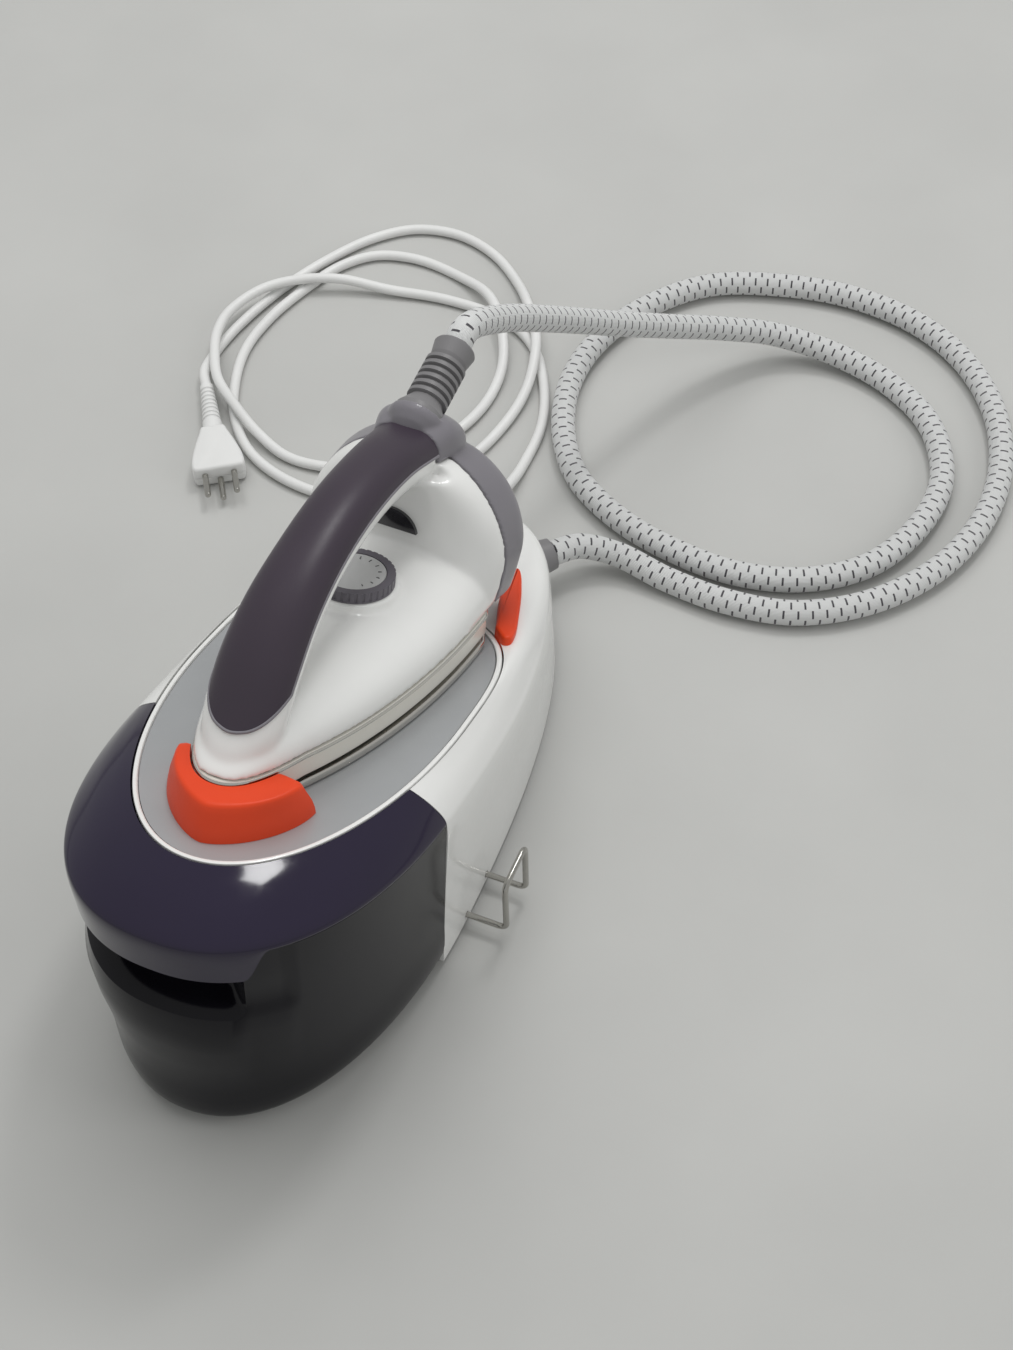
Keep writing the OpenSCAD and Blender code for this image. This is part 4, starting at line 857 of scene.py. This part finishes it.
pillar = make_piece("pillar", *skin_rings([pillar_ring(q) for q in PILLAR]), where=on_iron)
cut_from(pillar, [box_cutter("room_for_grip", 60, (190, 229.6), (96.8, 120))])
hull_steps = [BODY_NOSE, 33.2, 34.5, 36.5, 39, 42, 46, 51, 57, 64, 72, *range(80, 233, 8), 238.5]
hull = make_piece("iron_body_shell", *skin_rings([body_ring(v) for v in hull_steps]),
                  finish=gloss_white, where=on_iron)
bar = make_piece("bar", *skin_rings([handle_ring(i, 2.3, 14.2, line=strut_line)
                                     for i in range(len(strut_line))]), where=on_iron)


def on_dial_axis(name, low, high, radius, sides):
    """A round bar on the axis of the dial."""
    return make_piece(name, *skin_rings(along_tube([(0, DIAL_SPOT, low), (0, DIAL_SPOT, high)],
                                                   radius, sides)), where=on_iron)


iron_body = joined([hull, bar, pillar, on_dial_axis("dial_seat", 36, 53.1, 24.5, 64)])
one_moulding(iron_body, 0.0012, 18)
cut_from(iron_body, [box_cutter("trigger_slot", 6, (139, 184), (80, 99.4)),
                     on_dial_axis("spindle_bore", 15, 60, 4.4, 32)])
for face in iron_body.data.polygons:
    face.use_smooth = True
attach(iron_body, "iron")
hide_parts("iron_body")

# ---- Handle grip and its border --------------------------------------------------------
# Dark purple soft-touch cover, overmoulded on the bar from the rear down to a round tongue
# on the front strut. A fine grey bead borders it.
purple_satin = finish_of("purple_satin", (0.04, 0.029, 0.043), 0.38, vary=0.06, grain=1100, dent=0.00005)
bead_grey = finish_of("bead_grey", (0.2, 0.19, 0.21), 0.4, grain=900)
distance = [0.0]
for a, b in zip(handle_line, handle_line[1:]):
    distance.append(distance[-1] + math.hypot(b[0] - a[0], b[1] - a[1]))


def grip_edge(i):
    """How far above level the cover stops at each side; it closes to a tongue in front."""
    t = within((distance[i] + 0.15) / 25)
    open_part = math.sqrt(max(0, 1 - (1 - t) ** 2))
    return math.degrees(math.acos(min(1.0, open_part ** 1.11))) + 10 * t


def grip_arcs(wide, high):
    """The arc that the cover takes up at each step along the bar."""
    return [handle_ring(i, wide, high, grip_edge(i), 180 - grip_edge(i), 33)
            for i in range(len(handle_line))]


grip = make_piece("handle_grip_cover", *shell_faces(grip_arcs(3, 15), grip_arcs(0.2, 12.2)),
                  finish=purple_satin, sharp=50, where=on_iron)
border = grip_arcs(2.6, 14.6)
bead = make_piece("handle_grip_border", *skin_rings(along_tube(
    through([ring[0] for ring in border[::-1]] + [ring[-1] for ring in border], 3), 0.9, 10)),
    finish=bead_grey, where=on_iron)
for piece, node, slot in ((grip, "handle_grip", "purple_satin"), (bead, "grip_trim", "grey_plastic")):
    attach(piece, "iron")
    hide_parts(node)

# ---- Rear cover and hose boot ----------------------------------------------------------
# Grey cover over the back of the pillar, clipped along its front edge. The ribbed rubber
# boot comes out of its top and keeps the hose from kinking.


def cover_ring(q):
    """A level of the cover, squarer behind than the pillar in front and a little wider."""
    height, front, seam, back, half = q
    flare = 4 * within((103 - height) / 20)
    ring = []
    for a in range(-90, 91, 4):
        across, behind = math.sin(math.radians(a)), max(0, math.cos(math.radians(a)))
        ring.append((-(half + flare * behind ** 0.6) * signed_power(across, 0.42),
                     seam + (back - seam + 1) * behind ** 0.42, height))
    return ring


circle = [math.radians(9 * k) for k in range(40)]


def cap_ring(q):
    """A section of the cap that closes the bar: place, height, half width, half height."""
    return [(q[2] * signed_power(math.cos(t), 0.75), q[0],
             q[1] + q[3] * signed_power(math.sin(t), 0.75)) for t in circle]


def socket_ring(d, r):
    """A ring square to the hose's way out, d along it from the boot's foot."""
    c, s = math.cos(BOOT_RISE), math.sin(BOOT_RISE)
    return [(r * math.cos(t), BOOT_SPOT[1] + d * c - r * math.sin(t) * s,
             BOOT_SPOT[2] + d * s + r * math.sin(t) * c) for t in circle]


grey_purple = finish_of("grey_purple", (0.2, 0.19, 0.21), 0.34, coat=0.15, vary=0.05, grain=900)
cap = make_piece("cap", *skin_rings([cap_ring(q) for q in through([
    (230, 105.5, 19.8, 15), (236, 107, 21.5, 16.5), (243, 107, 23.5, 17.5), (251, 105, 24, 16.5),
    (258, 102.5, 23, 14.5), (265, 99, 18, 10.5)], 4)]), where=on_iron)
cut_from(cap, [box_cutter("room_for_pillar", 60, (200, 244.3), (60, 103.3))])
cover = make_piece("rear_cover_shell", *skin_rings([cover_ring(q) for q in PILLAR]),
                   finish=grey_purple, where=on_iron)
boot_socket = make_piece("boot_socket", *skin_rings([socket_ring(d, r) for d, r in (
    (-10, 8), (-6, 12.5), (-2, 15.2), (0, 15.9), (3, 15.9))]), where=on_iron)
rear_cover = joined([cover, cap, boot_socket])
one_moulding(rear_cover, 0.001, 6)
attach(rear_cover, "iron")
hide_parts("rear_cover")
dress_node("hose_boot", grey_soft)

# ---- Heat dial -------------------------------------------------------------------------
# Knurled grey-purple ring round a flat silver disc, on a spindle that turns the thermostat
# below. Printed strokes grow from cool to hot.
dial_grey = finish_of("dial_grey", (0.12, 0.11, 0.13), 0.4, grain=900)
dial_silver = finish_of("dial_silver", (0.6, 0.6, 0.6), 0.32, metal=0.4, grain=1300)
dress_node("dial_ring", dial_grey)
dress_node("dial_disc", dial_silver)
mark_ink = finish_of("mark_ink", (0.05, 0.05, 0.055), 0.5, grain=1500)


def dial_strokes(count, radius, sweep):
    """A node group that sets strokes round an arc, each a little longer than the last."""
    tree = bpy.data.node_groups.new("dial_strokes", "GeometryNodeTree")
    tree.interface.new_socket("Geometry", in_out="OUTPUT", socket_type="NodeSocketGeometry")
    settings = (("Strokes", "NodeSocketInt", count), ("Radius", "NodeSocketFloat", radius),
                ("Step", "NodeSocketFloat", sweep / (count - 1)),
                ("Ink", "NodeSocketMaterial", mark_ink))
    sockets = [tree.interface.new_socket(label, in_out="INPUT", socket_type=kind).identifier
               for label, kind, _ in settings]

    def add(kind, inputs, operation=None):
        node = new_node(tree, kind, inputs)
        if operation:
            node.operation = operation
        return node.outputs[0]

    given = tree.nodes.new("NodeGroupInput").outputs
    row = add("GeometryNodeMeshLine", {"Count": given["Strokes"], "Offset": (0, 0, 0)})
    stroke = add("GeometryNodeMeshCube", {"Size": (0.0024, 0.0005, 0.0003)})
    index = add("GeometryNodeInputIndex", {})
    angle = add("ShaderNodeMath", {0: index, 1: given["Step"]}, "MULTIPLY")
    turn = add("ShaderNodeCombineXYZ", {"Z": angle})
    longer = add("ShaderNodeMath", {0: index, 1: 0.06, 2: 0.6}, "MULTIPLY_ADD")
    scale = add("ShaderNodeCombineXYZ", {"X": longer, "Y": 1, "Z": 1})
    east = add("ShaderNodeCombineXYZ", {"X": given["Radius"]})
    swing = new_node(tree, "ShaderNodeVectorRotate", {"Vector": east, "Angle": angle})
    swing.rotation_type = "Z_AXIS"
    moved = add("GeometryNodeSetPosition", {"Geometry": row, "Position": swing.outputs[0]})
    spread = add("GeometryNodeInstanceOnPoints", {
        "Points": moved, "Instance": stroke, "Rotation": turn, "Scale": scale})
    real = add("GeometryNodeRealizeInstances", {0: spread})
    inked = add("GeometryNodeSetMaterial", {"Geometry": real, "Material": given["Ink"]})
    new_node(tree, "NodeGroupOutput", {0: inked})
    carrier = new_object("dial_strokes", bpy.data.meshes.new("dial_strokes"))
    maker = carrier.modifiers.new("strokes", "NODES")
    maker.node_group = tree
    for socket, (_, _, value) in zip(sockets, settings):
        maker[socket] = value
    bake(carrier)
    return carrier


DIAL_TOP, METRE = 59.15, 1000
strokes = dial_strokes(12, 0.0135, math.radians(270))
dial_face = on_iron((0, DIAL_SPOT, DIAL_TOP))
dial_axes = Matrix((on_iron((METRE, DIAL_SPOT, DIAL_TOP)) - dial_face,
                    on_iron((0, DIAL_SPOT + METRE, DIAL_TOP)) - dial_face,
                    on_iron((0, DIAL_SPOT, DIAL_TOP + METRE)) - dial_face)).transposed().to_4x4()
first_stroke = Matrix.Rotation(math.radians(-45), 4, "Z")
strokes.data.transform(Matrix.Translation(dial_face) @ dial_axes @ first_stroke)
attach(strokes, "dial")

# ---- Lamp lens and steam trigger -------------------------------------------------------
# A black half-moon lens in front of the pillar hides the two lamps. The trigger under the
# bar is a grey bar on a short plunger that closes the pump's switch.
lens_black = finish_of("lens_black", (0.012, 0.012, 0.014), 0.1, coat=0.8, grain=300, dent=0.00001,
                       spread=0.03)
dress_node("indicator_lens", lens_black)
dress_node("steam_trigger", grey_purple)

# ---- Floor and light -------------------------------------------------------------------
# A plain pale floor under soft studio light: a broad lamp overhead, a window-shaped one high
# up behind for the gloss, one at the right side, and an even sky.
floor_finish = finish_of("pale_floor", (0.5, 0.5, 0.485), 0.6, vary=0.04, cloud=5, grain=300,
                         dent=0.00005)
FAR, FLOOR_TOP = 9000, -0.4
floor = make_piece("floor", [(x * FAR, y * FAR, FLOOR_TOP) for x, y in (
    (-1, -1), (1, -1), (1, 1), (-1, 1))], [(0, 1, 2, 3)], finish=floor_finish)
world = bpy.data.worlds.new("sky")
world.use_nodes = True
world.node_tree.nodes["Background"].inputs["Color"].default_value = (0.93, 0.94, 0.93, 1)
world.node_tree.nodes["Background"].inputs["Strength"].default_value = 0.5
bpy.context.scene.world = world
for name, spot, aim, size, power, mirrored in (
        ("overhead", (-0.5, 0.6, 2.2), (0, 0, 0), (1.8, 1.8), 24, False),
        ("window", (0.15, 1.2, 2.1), (0, -0.1, 0.1), (0.36, 0.4), 8, True),
        ("side", (1.9, 0.3, 1.2), (0, 0, 0.1), (0.8, 1.4), 7, False)):
    lamp = bpy.data.lights.new(name, "AREA")
    lamp.shape = "RECTANGLE"
    lamp.size, lamp.size_y = size
    lamp.energy = power
    light = new_object(name, lamp)
    light.location = spot
    light.visible_glossy = mirrored
    light.rotation_euler = (Vector(aim) - Vector(spot)).to_track_quat("-Z", "Y").to_euler()
bpy.context.scene.view_settings.view_transform = "Standard"
